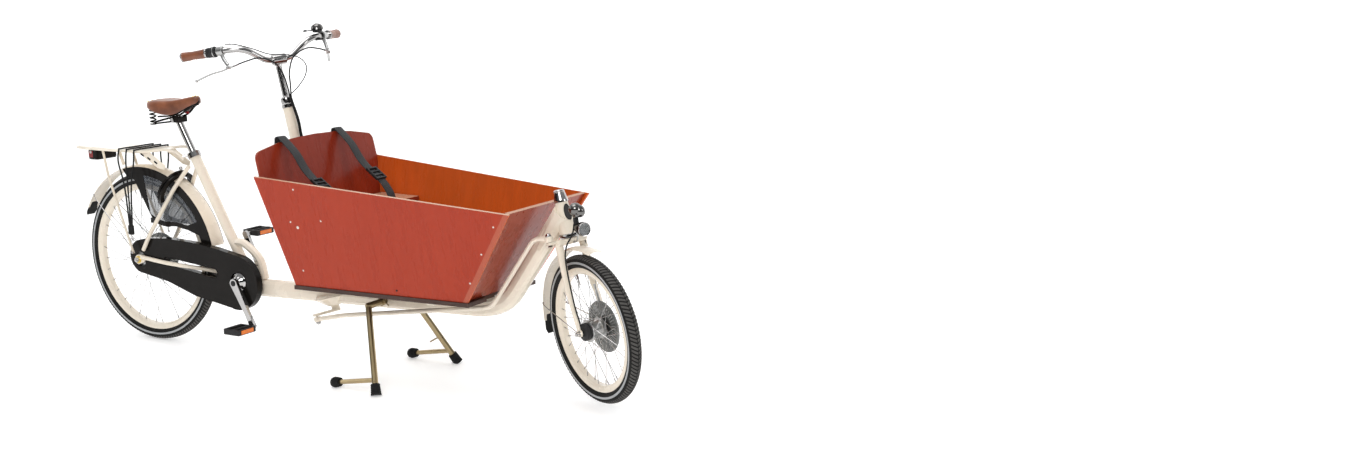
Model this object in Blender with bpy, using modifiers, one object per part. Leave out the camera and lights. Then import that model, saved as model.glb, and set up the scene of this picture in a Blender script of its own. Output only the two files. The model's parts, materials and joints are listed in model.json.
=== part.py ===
"""Long two-wheeled cargo bicycle with a plywood box ahead of the rider.

Metres, +X forward, +Y to the rider's left, +Z up, ground at z = 0, mid-plane at y = 0.
Every place below is measured from the point on the ground under the rear axle; the
assembly empty then moves that point so that the whole bicycle is centred on the origin.
The handlebar and the front wheel stand turned to the right, as the bicycle is parked.
"""

import math

import bmesh
import bpy
from mathutils import Matrix, Vector

# ---- driving dimensions -------------------------------------------------------------------
GAP = 0.0003  # between pieces that touch
REAR_AXLE_X = -0.9475

REAR_R = 0.3265
FRONT_R = 0.250
TYRE_W = 0.047
RIM_DEPTH = 0.021
SPOKES_PER_FLANGE = 18
SPOKE_PHASE = -3.2  # degrees; the lock's bolt passes midway between two spokes
WHEEL_STEPS = 40

STEER_TILT = math.radians(13.5)  # both steering axes lean back from vertical
STEER_TURN = math.radians(26.2)  # how far the steering stands to the right
HEAD = (1.905, 0, 0.565)  # lower end of the head tube, on the front steering axis
COLUMN = (0.729, 0, 0.947)  # upper end of the column housing, on its axis
FORK_RAKE = 0.028
FORK_DROP = 0.313
STEER_ARM = 0.075

BB = (0.500, 0, 0.285)
CRANK = 0.172
CRANK_LEAN = math.radians(27.8)
SEAT_TOP = (0.250, 0, 0.745)
SEAT_TUBE_R = 0.019
SEAT_STAY_DROPOUT_Y = 0.0705

FLOOR_Z = 0.353  # top of the cargo floor
FLOOR_THICK = 0.014
FLOOR_REBATE = 0.001  # the floor inside the box stands this much above its edge
PLY = 0.009
BOX_TOP_REAR = (0.852, 0.735)  # x, z of the side panel's corners
BOX_TOP_FRONT = (1.838, 0.667)
BOX_LOW_REAR = (0.940, FLOOR_Z + GAP)
BOX_LOW_FRONT = (1.634, FLOOR_Z + GAP)
BACK_LEAN = -0.228  # the backrest's x for each metre of z
BENCH_Z = 0.602
BENCH_FRONT = 1.095

BEAM_REAR = (0.548, 0, 0.258)
BEAM_FRONT = (1.575, 0, 0.290)
BEAM_W, BEAM_H = 0.050, 0.066

FENDER_R = 0.360
FRONT_FENDER_R = 0.278
GUARD_Y = 0.0315
LOCK_ANGLE = 61.8  # degrees above the forward direction, about the rear axle
LOCK_CENTRE_R = 0.309
LOCK_R = 0.071  # the bolt's radius about the lock's centre
KNOB_ANGLE = -7
CASE_Y = (-0.0645, -0.0365)
CHAIN_Y = -0.049
SPROCKET_R = 0.0366
CHAINRING_R = 0.0769
DECK_Z = 0.746

STAND_PIVOT = (1.150, 0, 0.275)
STAND_FOOT = (1.268, 0.233)
STAND_REAR_X = 1.073

WELD = 1e-5

# ---- paints: colour, roughness, metallic --------------------------------------------------
CREAM = ("cream_paint", (0.80, 0.74, 0.60), 0.30, 0.0)
WOOD = ("stained_ply", (0.44, 0.085, 0.035), 0.35, 0.0)
FLOOR_BROWN = ("floor_ply", (0.06, 0.025, 0.018), 0.55, 0.0)
TYRE = ("tyre_rubber", (0.03, 0.03, 0.03), 0.80, 0.0)
RUBBER = ("black_rubber", (0.02, 0.02, 0.02), 0.75, 0.0)
BLACK = ("black_gloss", (0.012, 0.011, 0.010), 0.12, 0.0)
PLASTIC = ("black_plastic", (0.025, 0.025, 0.025), 0.50, 0.0)
CHROME = ("chrome", (0.80, 0.80, 0.82), 0.12, 1.0)
ALLOY = ("alloy", (0.62, 0.63, 0.65), 0.32, 1.0)
ZINC = ("yellow_zinc", (0.55, 0.46, 0.26), 0.35, 1.0)
LEATHER = ("brown_leather", (0.30, 0.11, 0.045), 0.50, 0.0)
WEBBING = ("grey_webbing", (0.06, 0.07, 0.075), 0.85, 0.0)
RED_LENS = ("red_lens", (0.35, 0.01, 0.01), 0.15, 0.0)


# ---- small geometry helpers ---------------------------------------------------------------
def polar(radius, degrees, centre=(0.0, 0.0)):
    angle = math.radians(degrees)
    return (centre[0] + radius * math.cos(angle), centre[1] + radius * math.sin(angle))


def arc(radius, start, end, steps, centre=(0.0, 0.0)):
    return [polar(radius, start + (end - start) * i / steps, centre) for i in range(steps + 1)]


def mirrored(point):
    return (point[0], -point[1], point[2])


def rounded(points, bend, steps=4):
    """The polyline with each inner corner replaced by a smooth bend."""
    points = [Vector(p) for p in points]
    path = [points[0]]
    for before, corner, after in zip(points, points[1:], points[2:]):
        reach = min(bend, (corner - before).length * 0.49, (after - corner).length * 0.49)
        start = corner + (before - corner).normalized() * reach
        end = corner + (after - corner).normalized() * reach
        for i in range(steps + 1):
            t = i / steps
            path.append(start * (1 - t) ** 2 + corner * 2 * t * (1 - t) + end * t**2)
    return path + [points[-1]]


def flowing(points, count):
    """A smooth curve through the points, as a list of count points."""
    points = [Vector(p) for p in points]
    ends = [points[0] * 2 - points[1]] + points + [points[-1] * 2 - points[-2]]
    path = []
    for k in range(count):
        place = k * (len(points) - 1) / (count - 1)
        i = min(int(place), len(points) - 2)
        t = place - i
        a, b, c, d = ends[i : i + 4]
        path.append(
            ((b * 2) + (c - a) * t + (a * 2 - b * 5 + c * 4 - d) * t**2
             + (b * 3 - a - c * 3 + d) * t**3) / 2
        )
    return path


def between(a, b):
    """The placement whose Z runs from a to b, with its origin halfway."""
    a, b = Vector(a), Vector(b)
    turn = (b - a).to_track_quat("Z", "Y").to_matrix().to_4x4()
    return Matrix.Translation((a + b) / 2) @ turn


def upright(y):
    """The placement that stands a flat outline of (x, z) points up at this y."""
    return Matrix.Translation((0, y, 0)) @ Matrix.Rotation(math.pi / 2, 4, "X")


ACROSS = Matrix.Rotation(math.pi / 2, 4, "X")  # puts a turned shape's axis along Y


# ---- solids -------------------------------------------------------------------------------
def new_object(name, data):
    obj = bpy.data.objects.new(name, data)
    bpy.context.scene.collection.objects.link(obj)
    return obj


def settled(obj):
    """obj as a plain closed mesh, with its modifiers and its placement applied."""
    bpy.context.view_layer.update()
    graph = bpy.context.evaluated_depsgraph_get()
    mesh = bpy.data.meshes.new_from_object(obj.evaluated_get(graph))
    mesh.transform(obj.matrix_basis)
    form = bmesh.new()
    form.from_mesh(mesh)
    bmesh.ops.remove_doubles(form, verts=form.verts, dist=WELD)
    rims = [edge for edge in form.edges if edge.is_boundary]
    bmesh.ops.holes_fill(form, edges=rims, sides=0)
    bmesh.ops.recalc_face_normals(form, faces=form.faces)
    form.to_mesh(mesh)
    form.free()
    plain = new_object(obj.name, mesh)
    bpy.data.objects.remove(obj)
    return plain


def combined(base, others, operation="UNION"):
    for other in others:
        modifier = base.modifiers.new("combine", "BOOLEAN")
        modifier.operation = operation
        modifier.solver = "EXACT"
        modifier.object = other
        base = settled(base)
        bpy.data.objects.remove(other)
    return base


def cut(base, *cutters):
    return combined(base, cutters, "DIFFERENCE")


def block(size, centre=(0, 0, 0), bevel=0.0, place=Matrix.Identity(4), segments=2):
    mesh = bpy.data.meshes.new("block")
    form = bmesh.new()
    bmesh.ops.create_cube(form, size=1.0)
    bmesh.ops.scale(form, vec=size, verts=form.verts)
    form.to_mesh(mesh)
    form.free()
    obj = new_object("block", mesh)
    obj.matrix_basis = place @ Matrix.Translation(centre)
    if bevel:
        modifier = obj.modifiers.new("round", "BEVEL")
        modifier.width = bevel
        modifier.segments = segments
    return settled(obj)


def rod(a, b, radius, end_radius=None, sides=12):
    """A round bar from a to b, tapered when end_radius is given."""
    mesh = bpy.data.meshes.new("rod")
    form = bmesh.new()
    bmesh.ops.create_cone(
        form,
        cap_ends=True,
        segments=sides,
        radius1=radius,
        radius2=radius if end_radius is None else end_radius,
        depth=(Vector(b) - Vector(a)).length,
    )
    form.to_mesh(mesh)
    form.free()
    obj = new_object("rod", mesh)
    obj.matrix_basis = between(a, b)
    return settled(obj)


def ball(radius, centre, sides=12):
    mesh = bpy.data.meshes.new("ball")
    form = bmesh.new()
    bmesh.ops.create_uvsphere(form, u_segments=sides, v_segments=sides // 2, radius=radius)
    form.to_mesh(mesh)
    form.free()
    obj = new_object("ball", mesh)
    obj.location = centre
    return settled(obj)


def turned(profile, steps, place=Matrix.Identity(4), degrees=360, ring=False):
    """A profile of (radius, height) points turned about Z; ring closes the profile on itself."""
    mesh = bpy.data.meshes.new("turned")
    form = bmesh.new()
    points = [form.verts.new((radius, 0, height)) for radius, height in profile]
    pairs = list(zip(points, points[1:])) + ([(points[-1], points[0])] if ring else [])
    for a, b in pairs:
        form.edges.new((a, b))
    form.to_mesh(mesh)
    form.free()
    obj = new_object("turned", mesh)
    obj.matrix_basis = place
    modifier = obj.modifiers.new("turn", "SCREW")
    modifier.angle = math.radians(degrees)
    modifier.steps = steps
    modifier.render_steps = steps
    modifier.use_merge_vertices = True
    modifier.merge_threshold = WELD
    return settled(obj)


def bar(points, radius, resolution=2, outline=None):
    """A tube along the points, or a bar of the outline's section."""
    curve = bpy.data.curves.new("bar", "CURVE")
    curve.dimensions = "3D"
    curve.use_fill_caps = True
    if outline:
        section = bpy.data.curves.new("section", "CURVE")
        section.dimensions = "2D"
        section.splines.new("POLY").points.add(len(outline) - 1)
        for point, (u, v) in zip(section.splines[0].points, outline):
            point.co = (u, v, 0, 1)
        section.splines[0].use_cyclic_u = True
        curve.bevel_mode = "OBJECT"
        curve.bevel_object = new_object("section", section)
    else:
        curve.bevel_depth = radius
        curve.bevel_resolution = resolution
    spline = curve.splines.new("POLY")
    spline.points.add(len(points) - 1)
    for point, place in zip(spline.points, points):
        point.co = (*place, 1)
    section = curve.bevel_object
    solid = settled(new_object("bar", curve))
    if section:
        bpy.data.objects.remove(section)
    return solid


def plate(outline, thickness, place, holes=(), bevel=0.0):
    """A flat sheet of the outline's shape, half its thickness to each side of its plane."""
    curve = bpy.data.curves.new("plate", "CURVE")
    curve.dimensions = "2D"
    curve.fill_mode = "BOTH"
    curve.extrude = thickness / 2
    for loop in (outline, *holes):
        spline = curve.splines.new("POLY")
        spline.points.add(len(loop) - 1)
        spline.use_cyclic_u = True
        for point, (u, v) in zip(spline.points, loop):
            point.co = (u, v, 0, 1)
    obj = new_object("plate", curve)
    if bevel:
        weld = obj.modifiers.new("weld", "WELD")
        weld.merge_threshold = WELD
        modifier = obj.modifiers.new("round", "BEVEL")
        modifier.width = bevel
        modifier.segments = 2
        modifier.limit_method = "ANGLE"
        modifier.angle_limit = math.radians(50)
    obj.matrix_basis = place
    return settled(obj)


def panel(corners, thickness):
    """A flat board with these outer corners, its thickness behind them."""
    corners = [Vector(c) for c in corners]
    along = (corners[1] - corners[0]).normalized()
    normal = along.cross(corners[-1] - corners[0]).normalized()
    up = normal.cross(along)
    turn = Matrix((along, up, normal)).transposed().to_4x4()
    place = Matrix.Translation(corners[0] - normal * thickness / 2) @ turn
    outline = [((c - corners[0]).dot(along), (c - corners[0]).dot(up)) for c in corners]
    return plate(outline, thickness, place)


# ---- assembly -----------------------------------------------------------------------------
def paint(look):
    name, colour, roughness, metallic = look
    material = bpy.data.materials.get(name)
    if material is None:
        material = bpy.data.materials.new(name)
        material.use_nodes = True
        shader = material.node_tree.nodes["Principled BSDF"]
        shader.inputs["Base Color"].default_value = (*colour, 1)
        shader.inputs["Roughness"].default_value = roughness
        shader.inputs["Metallic"].default_value = metallic
    return material


def part(name, solid, parent, look, smooth=38):
    """Names the solid, paints it, and hangs it on the body that carries it."""
    solid.name = name
    solid.data.name = name
    bpy.data.collections["cargo_bicycle"].objects.link(solid)
    bpy.context.scene.collection.objects.unlink(solid)
    solid.parent = parent
    solid.data.materials.clear()
    solid.data.materials.append(paint(look))
    solid.data.shade_smooth()
    solid.data.set_sharp_from_angle(angle=math.radians(smooth))
    return solid


def axis(name, parent, location, tilt=0.0, turn=0.0, about_y=0.0):
    """An empty on a joint's axis: leaned back by tilt, then turned to the left by turn."""
    obj = bpy.data.objects.new(name, None)
    bpy.data.collections["cargo_bicycle"].objects.link(obj)
    obj.parent = parent
    obj.location = location
    obj.rotation_mode = "ZYX"
    obj.rotation_euler = (0, about_y - tilt, turn)
    return obj


# ---- frame --------------------------------------------------------------------------------
def seat_axis(along):
    """The point this far down the seat tube's axis from its top."""
    low = Vector(BB) - Vector(SEAT_TOP)
    return Vector(SEAT_TOP) + low.normalized() * along


def column_place(height):
    turn = Matrix.Rotation(-STEER_TILT, 4, "Y")
    return Matrix.Translation(COLUMN) @ turn @ Matrix.Translation((0, 0, height))


def head_place(height):
    turn = Matrix.Rotation(-STEER_TILT, 4, "Y")
    return Matrix.Translation(HEAD) @ turn @ Matrix.Translation((0, 0, height))


def beam_section():
    """An oval with flattened sides."""
    points = []
    sides = 12
    squash = 0.8
    for i in range(sides):
        angle = 2 * math.pi * i / sides
        u = math.copysign(abs(math.cos(angle)) ** squash, math.cos(angle)) * BEAM_W / 2
        v = math.copysign(abs(math.sin(angle)) ** squash, math.sin(angle)) * BEAM_H / 2
        points.append((u, v))
    return points


def cross_member(x):
    """A bearer welded across the beam, just under the cargo floor."""
    top = FLOOR_Z - FLOOR_THICK - GAP
    bearer = block((0.030, 0.34, 0.016), (x, 0, top - 0.008), 0.003)
    post = block((0.026, 0.040, 0.050), (x, 0, top - 0.030))
    return combined(bearer, [post])


def main_beam(frame):
    """Beam, front tube, head tube with its cap, box bearers and the column's lower cone."""
    top_end = (1.878, 0, 0.632)
    path = rounded([BEAM_REAR, BEAM_FRONT, (1.663, 0, 0.322), top_end], 0.16, 4)
    tube = bar(path, 0, outline=beam_section())
    head_profile = [(0, 0.152), (0.017, 0.152), (0.0225, 0.122), (0.0225, 0.118),
                    (0.0215, 0.116), (0.024, 0.084), (0.030, 0.020), (0.030, 0.002), (0, 0.002)]
    head = turned(head_profile, 16, head_place(0))
    gusset = rod((1.800, 0, 0.514), (1.886, 0, 0.640), 0.026, 0.037, 10)
    cone_profile = [(0, 0.036), (0.064, 0.036), (0.068, 0.028), (0.024, -0.004), (0, -0.004)]
    cone = turned(cone_profile, 16, column_place(-0.735))
    whole = combined(tube, [head, gusset, cone, cross_member(1.030), cross_member(1.460)])
    steerer_bore = turned([(0, 0.3), (0.0152, 0.3), (0.0152, -0.1), (0, -0.1)], 16, head_place(0))
    column_bore = turned([(0, 0.3), (0.0202, 0.3), (0.0202, -0.2), (0, -0.2)], 16,
                         column_place(-0.735))
    x, _, z = STAND_PIVOT
    pivot_bore = rod((x, -0.1, z), (x, 0.1, z), 0.0126)
    part("main_beam", cut(whole, steerer_bore, column_bore, pivot_bore), frame, CREAM)


def column_housing(frame):
    tube = turned([(0.0197, -0.002), (0.0197, -0.736), (0.0160, -0.736), (0.0160, -0.002)], 16,
                  column_place(0), ring=True)
    part("column_housing", tube, frame, CREAM)


def seat_tube(frame):
    """Seat tube with the bottom bracket shell and the curved brace down to the beam."""
    tube = rod(seat_axis(0), seat_axis(0.51), SEAT_TUBE_R, sides=16)
    shell = turned([(0, 0.034), (0.0215, 0.034), (0.0215, -0.034), (0, -0.034)], 20,
                   Matrix.Translation(BB) @ ACROSS)
    brace_path = flowing([seat_axis(0.375), (0.478, 0, 0.418), (0.548, 0, 0.370),
                          (0.567, 0, 0.318), (0.572, 0, 0.292)], 14)
    brace = bar(brace_path, 0.0150)
    lug = block((0.060, 0.040, 0.050), (0.522, 0, 0.2635), 0.006)
    whole = combined(tube, [shell, brace, lug])
    post_bore = rod(seat_axis(-0.05), seat_axis(0.300), 0.0140, sides=16)
    axle_bore = rod((BB[0], -0.1, BB[2]), (BB[0], 0.1, BB[2]), 0.0100)
    beam_room = block((0.400, 0.060, BEAM_H + 0.003), (0.2 + BEAM_REAR[0] - 0.0014, 0, BEAM_REAR[2]))
    part("seat_tube", cut(whole, post_bore, axle_bore, beam_room), frame, CREAM)


def dropout(y):
    """The plate that holds the axle's end, with its nut outside."""
    side = math.copysign(1, y)
    outline = arc(0.019, 90, 270, 8, (0, REAR_R)) + [(0.030, REAR_R - 0.006), (0.030, 0.345)]
    sheet = plate(outline, 0.005, upright(y))
    nut = rod((0, y, REAR_R), (0, y + side * 0.014, REAR_R), 0.0095, sides=6)
    return combined(sheet, [nut])


def chain_stay(frame, side, name):
    """Side -1 is the chain's side: there the stay passes through the loop of the chain."""
    y = SEAT_STAY_DROPOUT_Y + 0.003
    path = [(0.016, side * y, 0.3375), (0.150, side * y, 0.3260), (0.372, side * 0.0290, 0.3065),
            (0.474, side * 0.0245, 0.2975)]
    tube = bar(rounded(path, 0.03), 0.0080)
    solid = combined(tube, [dropout(side * SEAT_STAY_DROPOUT_Y)])
    part(name, solid, frame, CREAM)


def seat_stay(frame, side, name):
    path = [(0.030, side * 0.0735, 0.366), (0.075, side * 0.0735, 0.437),
            (0.180, side * 0.0465, 0.604), (0.246, side * 0.0225, 0.696)]
    part(name, bar(rounded(path, 0.03, 3), 0.0078), frame, CREAM)


# ---- cargo box ----------------------------------------------------------------------------
def side_y(x, z):
    """The side panel's outer face, a plane that leans out and narrows towards the front."""
    return 0.2249 - 0.0615 * x + 0.1966 * z


def inner_y(x, z):
    return side_y(x, z) - PLY * 1.022 - 2 * GAP


def back_x(z):
    """The backrest's rear face."""
    return 0.951 + BACK_LEAN * (z - FLOOR_Z)


def side_panel(frame, side, name):
    corners = [(x, side * side_y(x, z), z)
               for x, z in (BOX_LOW_REAR, BOX_LOW_FRONT, BOX_TOP_FRONT, BOX_TOP_REAR)]
    part(name, panel(corners if side < 0 else corners[::-1], PLY), frame, WOOD)


def front_panel(frame):
    setback = 0.013
    low_x, low_z = BOX_LOW_FRONT
    top_x, top_z = BOX_TOP_FRONT
    low = (low_x - setback, inner_y(low_x - setback, low_z) - 0.0005, low_z)
    top = (top_x - setback, inner_y(top_x - setback, top_z) - 0.0005, top_z)
    part("box_front", panel([low, mirrored(low), mirrored(top), top][::-1], PLY), frame, WOOD)


def backrest(frame):
    """Leaning board with rounded shoulders and an arched top."""
    slope = math.hypot(1, BACK_LEAN)
    shoulder_z = 0.790
    top_z = 0.846
    side_top = BOX_TOP_REAR[1]
    corner = 0.030
    half = 0.303

    def at(y, z):
        return (y, (z - FLOOR_Z) * slope)

    low_half = inner_y(back_x(FLOOR_Z) + PLY, FLOOR_Z) - 0.001
    wide_half = inner_y(back_x(side_top) + PLY, side_top) - 0.001
    right = [at(low_half, FLOOR_Z + 0.0015), at(wide_half, side_top)]
    right += [at(half, side_top + 0.006), at(half, shoulder_z)]
    right += [at(y, z) for y, z in arc(corner, 20, 68, 3, (half - corner, shoulder_z))]
    crown = [at(half * 0.72 * math.cos(math.radians(a)), shoulder_z + 0.034
                + (top_z - shoulder_z - 0.034) * math.sin(math.radians(a)))
             for a in (30, 60, 90)]
    outline = right + crown
    outline += [(-u, v) for u, v in reversed(outline[:-1])]
    lean = math.atan(BACK_LEAN)
    place = (Matrix.Translation((back_x(FLOOR_Z) + PLY / 2 / slope, 0, FLOOR_Z))
             @ Matrix.Rotation(lean, 4, "Y") @ Matrix.Rotation(math.pi / 2, 4, "Z")
             @ Matrix.Rotation(math.pi / 2, 4, "X"))
    part("backrest", plate(outline, PLY, place), frame, WOOD)


def floor(frame):
    """Thick board, notched at the front for the rising tube, with a rebate the panels stand in."""
    edge = 0.004
    rear = (BOX_LOW_REAR[0] - edge, side_y(*BOX_LOW_REAR) + edge)
    front = (BOX_LOW_FRONT[0] + edge, side_y(*BOX_LOW_FRONT) + edge)
    lip = (1.622, 0.095)
    notch = (1.611, BEAM_W / 2 + 0.0015)
    half = [(rear[0], -rear[1]), (front[0], -front[1]), (front[0], -lip[1]), (lip[0], -lip[1]),
            (lip[0], -notch[1]), (notch[0], -notch[1])]
    outline = half + [(x, -y) for x, y in reversed(half)]
    place = Matrix.Translation((0, 0, FLOOR_Z - FLOOR_THICK / 2))
    board = plate(outline, FLOOR_THICK, place)
    inside = [(x, -inner_y(x, FLOOR_Z) + 0.004) for x in (0.968, 1.604)]
    inside += [(x, -y) for x, y in reversed(inside)]
    raised = plate(inside, 2 * FLOOR_REBATE, Matrix.Translation((0, 0, FLOOR_Z)))
    part("box_floor", combined(board, [raised]), frame, FLOOR_BROWN)


def bench(body):
    """Fold-up seat board, in the frame of its hinge at the back edge."""
    rear_x, thick = 0.915, 0.012
    outline = []
    for x in (rear_x, BENCH_FRONT):
        outline.append((x - rear_x, inner_y(x, BENCH_Z) - 0.003 - 0.0025))
    outline += [(u, -v) for u, v in reversed(outline)]
    board = plate(outline, thick, Matrix.Translation((0, 0, -thick / 2)))
    lip = block((0.012, 0.40, 0.030), (BENCH_FRONT - rear_x - 0.008, 0, -0.022))
    part("bench_seat", combined(board, [lip]), body, WOOD)


def strap(frame, y, name):
    """Shoulder strap from the top of the backrest to the front of the bench, with its buckle."""
    thick, width = 0.0026, 0.038
    top_z = 0.851
    top_x = back_x(top_z)
    path = [(top_x - 0.006, 0.770), (top_x - 0.0065, top_z + 0.001), (top_x + 0.014, top_z + 0.002),
            (0.930, 0.770), (1.020, 0.691), (1.076, 0.627), (1.082, BENCH_Z + 0.003)]
    upper, lower = [], []
    for i, (x, z) in enumerate(path):
        before = Vector(path[max(i - 1, 0)])
        after = Vector(path[min(i + 1, len(path) - 1)])
        run = (after - before).normalized() * thick / 2
        upper.append((x - run.y, z + run.x))
        lower.append((x + run.y, z - run.x))
    band = plate(upper + lower[::-1], width, upright(y))
    tilt = Matrix.Translation((1.020, y, 0.691)) @ Matrix.Rotation(0.75, 4, "Y")
    buckle = block((0.062, 0.050, 0.013), (0, 0, 0.002), 0.003, tilt)
    part(name, combined(band, [buckle]), frame, WEBBING)


# ---- rear equipment -----------------------------------------------------------------------
def rack(frame):
    """Luggage deck with its edge tubes, front arms, side plates and stays."""
    half = 0.072
    outline = ([(-0.335, 0), (-0.322, 0.040), (-0.285, 0.070)] + [(-0.25, half), (0.060, half)]
               + [(0.105, 0.050)])
    outline += [(x, -y) for x, y in reversed(outline[1:])]
    solid = plate(outline, 0.004, Matrix.Translation((0, 0, DECK_Z)))
    pieces = []
    for side in (-1, 1):
        edge = [(-0.300, side * 0.062, DECK_Z - 0.004), (-0.26, side * half, DECK_Z - 0.004),
                (0.060, side * half, DECK_Z - 0.002), (0.150, side * 0.052, DECK_Z + 0.012),
                (0.205, side * 0.042, DECK_Z + 0.004), (0.234, side * 0.037, 0.722)]
        pieces.append(bar(rounded(edge, 0.03, 2), 0.0055, 1))
        pieces.append(bar([(-0.154, side * 0.070, DECK_Z - 0.003), (-0.128, side * 0.074, 0.640),
                           (-0.010, side * 0.0862, 0.352)], 0.0050, 1))
        lobe = [(0.020, 0.7455), (0.085, 0.7455), (0.166, 0.698), (0.160, 0.682), (0.128, 0.686)]
        web = plate(lobe, 0.0025, upright(side * 0.062))
        pieces.append(web)
    pieces.append(rod((-0.150, 0, DECK_Z - 0.001), (-0.124, 0, 0.6765), 0.006))
    part("rear_rack", combined(solid, pieces), frame, CREAM)


def rear_light(frame):
    body = block((0.052, 0.098, 0.044), (-0.238, 0, 0.7165), 0.008)
    part("rear_light", body, frame, RED_LENS)


def binder_straps(frame):
    """Three rubber strands over the deck, joined in a block and a hook on each side."""
    pieces = []
    for shift in (-0.040, 0.0, 0.040):
        x = -0.010 + shift
        path = [(-0.008 + shift * 0.15, -0.0905, 0.480), (x - 0.005, -0.086, 0.700),
                (x, -0.084, DECK_Z + 0.001), (x + 0.004, -0.076, DECK_Z + 0.0062),
                (x - 0.004, 0.076, DECK_Z + 0.0062), (x, 0.084, DECK_Z + 0.001),
                (x - 0.005, 0.086, 0.700), (-0.008 + shift * 0.15, 0.0905, 0.480)]
        pieces.append(bar(path, 0.0030, 1))
    for side in (-1, 1):
        pieces.append(block((0.022, 0.008, 0.060), (-0.008, side * 0.0905, 0.468), 0.003))
    solid = combined(pieces[0], pieces[1:])
    part("binder_straps", solid, frame, RUBBER)


def fender_section(radius, half, thick=0.0016):
    """A shallow arch across the tyre, as a closed loop of (radius, height) points."""
    outer, inner = [], []
    for i in range(5):
        u = -1 + i / 2
        sag = 0.007 * u * u
        outer.append((radius - sag, half * u))
        inner.append((radius - sag - thick, half * u * 0.985))
    return outer + inner[::-1]


def swept_fender(radius, half, start, end, steps, centre):
    """An arched strip from start to end, in degrees above the forward direction."""
    place = (Matrix.Translation(centre) @ Matrix.Rotation(math.radians(start), 4, (0, -1, 0))
             @ ACROSS)
    return turned(fender_section(radius, half), steps, place, end - start, ring=True)


def rear_fender(frame):
    centre = (0, 0, REAR_R)
    skin = swept_fender(FENDER_R, 0.030, 12, 151, 24, centre)
    flap_top = polar(FENDER_R - 0.004, 149, (0, REAR_R))
    flap = block((0.004, 0.046, 0.060), (0, 0, -0.022), 0.001,
                 Matrix.Translation((flap_top[0], 0, flap_top[1])) @ Matrix.Rotation(0.54, 4, "Y"))
    part("rear_fender", combined(skin, [flap]), frame, CREAM)


def coat_guard(frame, side, name):
    """Skirt beside the rear wheel, with a hole where the lock's bolt passes."""
    hub = (0, REAR_R)
    outline = arc(0.352, 13, 106, 12, hub) + [polar(0.326, 104, hub), polar(0.303, 97, hub)]
    outline += [(0.048, 0.480), (0.064, 0.466), (0.104, 0.458), (0.170, 0.462), (0.232, 0.452)]
    outline += [polar(0.306, 21, hub), polar(0.306, 13, hub)]
    pass_r = LOCK_CENTRE_R - math.sqrt(LOCK_R**2 - GUARD_Y**2)
    bolt_hole = arc(0.0100, 0, 330, 11, polar(pass_r, LOCK_ANGLE, hub))
    part(name, plate(outline, 0.003, upright(side * GUARD_Y), [bolt_hole]), frame, BLACK)


def lock_place():
    """The ring lock's plane: Z along the wheel's tangent, X towards the rim, Y across."""
    x, z = polar(LOCK_CENTRE_R, LOCK_ANGLE, (0, REAR_R))
    lean = Matrix.Rotation(-math.radians(LOCK_ANGLE), 4, "Y")
    return Matrix.Translation((x, 0, z)) @ lean


def ring_lock(frame):
    """Horseshoe round the tyre, hollow along its length for the bolt."""
    ring = arc(0.0800, -128, 128, 16) + arc(0.0620, 128, -128, 16)
    body = plate(ring, 0.020, lock_place())
    tunnel_path = [(*p, 0) for p in arc(LOCK_R, -134, 134, 16)]
    tunnel = bar(tunnel_path, 0.0058)
    slot = plate(arc(0.0850, -120, -2, 8) + arc(LOCK_R, -2, -120, 8), 0.0055,
                 Matrix.Identity(4))
    for tool in (tunnel, slot):
        tool.data.transform(lock_place())
    part("ring_lock", cut(body, tunnel, slot), frame, BLACK)


def lock_bolt(body):
    """Curved bolt with its thumb knob, in the frame of the lock's centre."""
    path = [(*p, 0) for p in arc(LOCK_R, -126, -2, 9)]
    bolt = bar(path, 0.0046)
    stem = rod((*polar(LOCK_R, KNOB_ANGLE), 0), (*polar(LOCK_R + 0.024, KNOB_ANGLE), 0), 0.0020)
    knob = ball(0.0075, (*polar(LOCK_R + 0.026, KNOB_ANGLE), 0), 10)
    part("lock_bolt", combined(bolt, [stem, knob]), body, CHROME)


def case_outline(grow):
    """The chain case's silhouette, moved outwards by grow."""
    rear = (0.012, 0.338)
    front = (0.490, 0.281)
    outline = [(0.040, 0.4110 + grow)] + arc(0.0650 + grow, 102, 256, 10, rear)
    outline += [(0.140, 0.2520 - grow), (0.275, 0.2110 - grow)]
    outline += arc(0.1030 + grow, -108, 84, 12, front)
    outline += [(0.400, 0.4010 + grow), (0.270, 0.4150 + grow), (0.140, 0.4190 + grow)]
    return outline


def case_slot(grow):
    rear = (0.140, 0.3330)
    front = (0.380, 0.3070)
    return arc(0.0145 + grow, 84, 264, 5, rear) + arc(0.0185 + grow, -96, 84, 5, front)


def chain_case(frame):
    """Hollow case round the chain, open for the crank, for the axle and for the stay."""
    low, high = CASE_Y
    middle = (low + high) / 2
    crank_hole = arc(0.0385, 0, 345, 23, (BB[0], BB[2]))
    hub_hole = arc(0.0290, 0, 340, 17, (0, REAR_R))
    shell = plate(case_outline(0), high - low, upright(middle), [case_slot(0), crank_hole, hub_hole])
    wall = 0.0022
    cavity = plate(case_outline(-wall), high - low - 2 * wall, upright(middle), [case_slot(wall)])
    part("chain_case", cut(shell, cavity), frame, BLACK)


def loop_outline(rear_r, front_r):
    """A belt's outline round the sprocket and the chainring."""
    reach = math.dist((0, REAR_R), (BB[0], BB[2]))
    slope = math.degrees(math.atan2(BB[2] - REAR_R, BB[0]))
    lift = math.degrees(math.asin((front_r - rear_r) / reach))
    outline = arc(rear_r, 90 + slope + lift, 270 + slope - lift, 10, (0, REAR_R))
    outline += arc(front_r, -90 + slope - lift, 90 + slope + lift, 14, (BB[0], BB[2]))
    return outline


def chain(frame):
    half = 0.0040
    outer = loop_outline(SPROCKET_R + half, CHAINRING_R + half)
    inner = loop_outline(SPROCKET_R - half, CHAINRING_R - half)
    part("chain", plate(outer, 0.0070, upright(CHAIN_Y), [inner]), frame, ALLOY)


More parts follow.
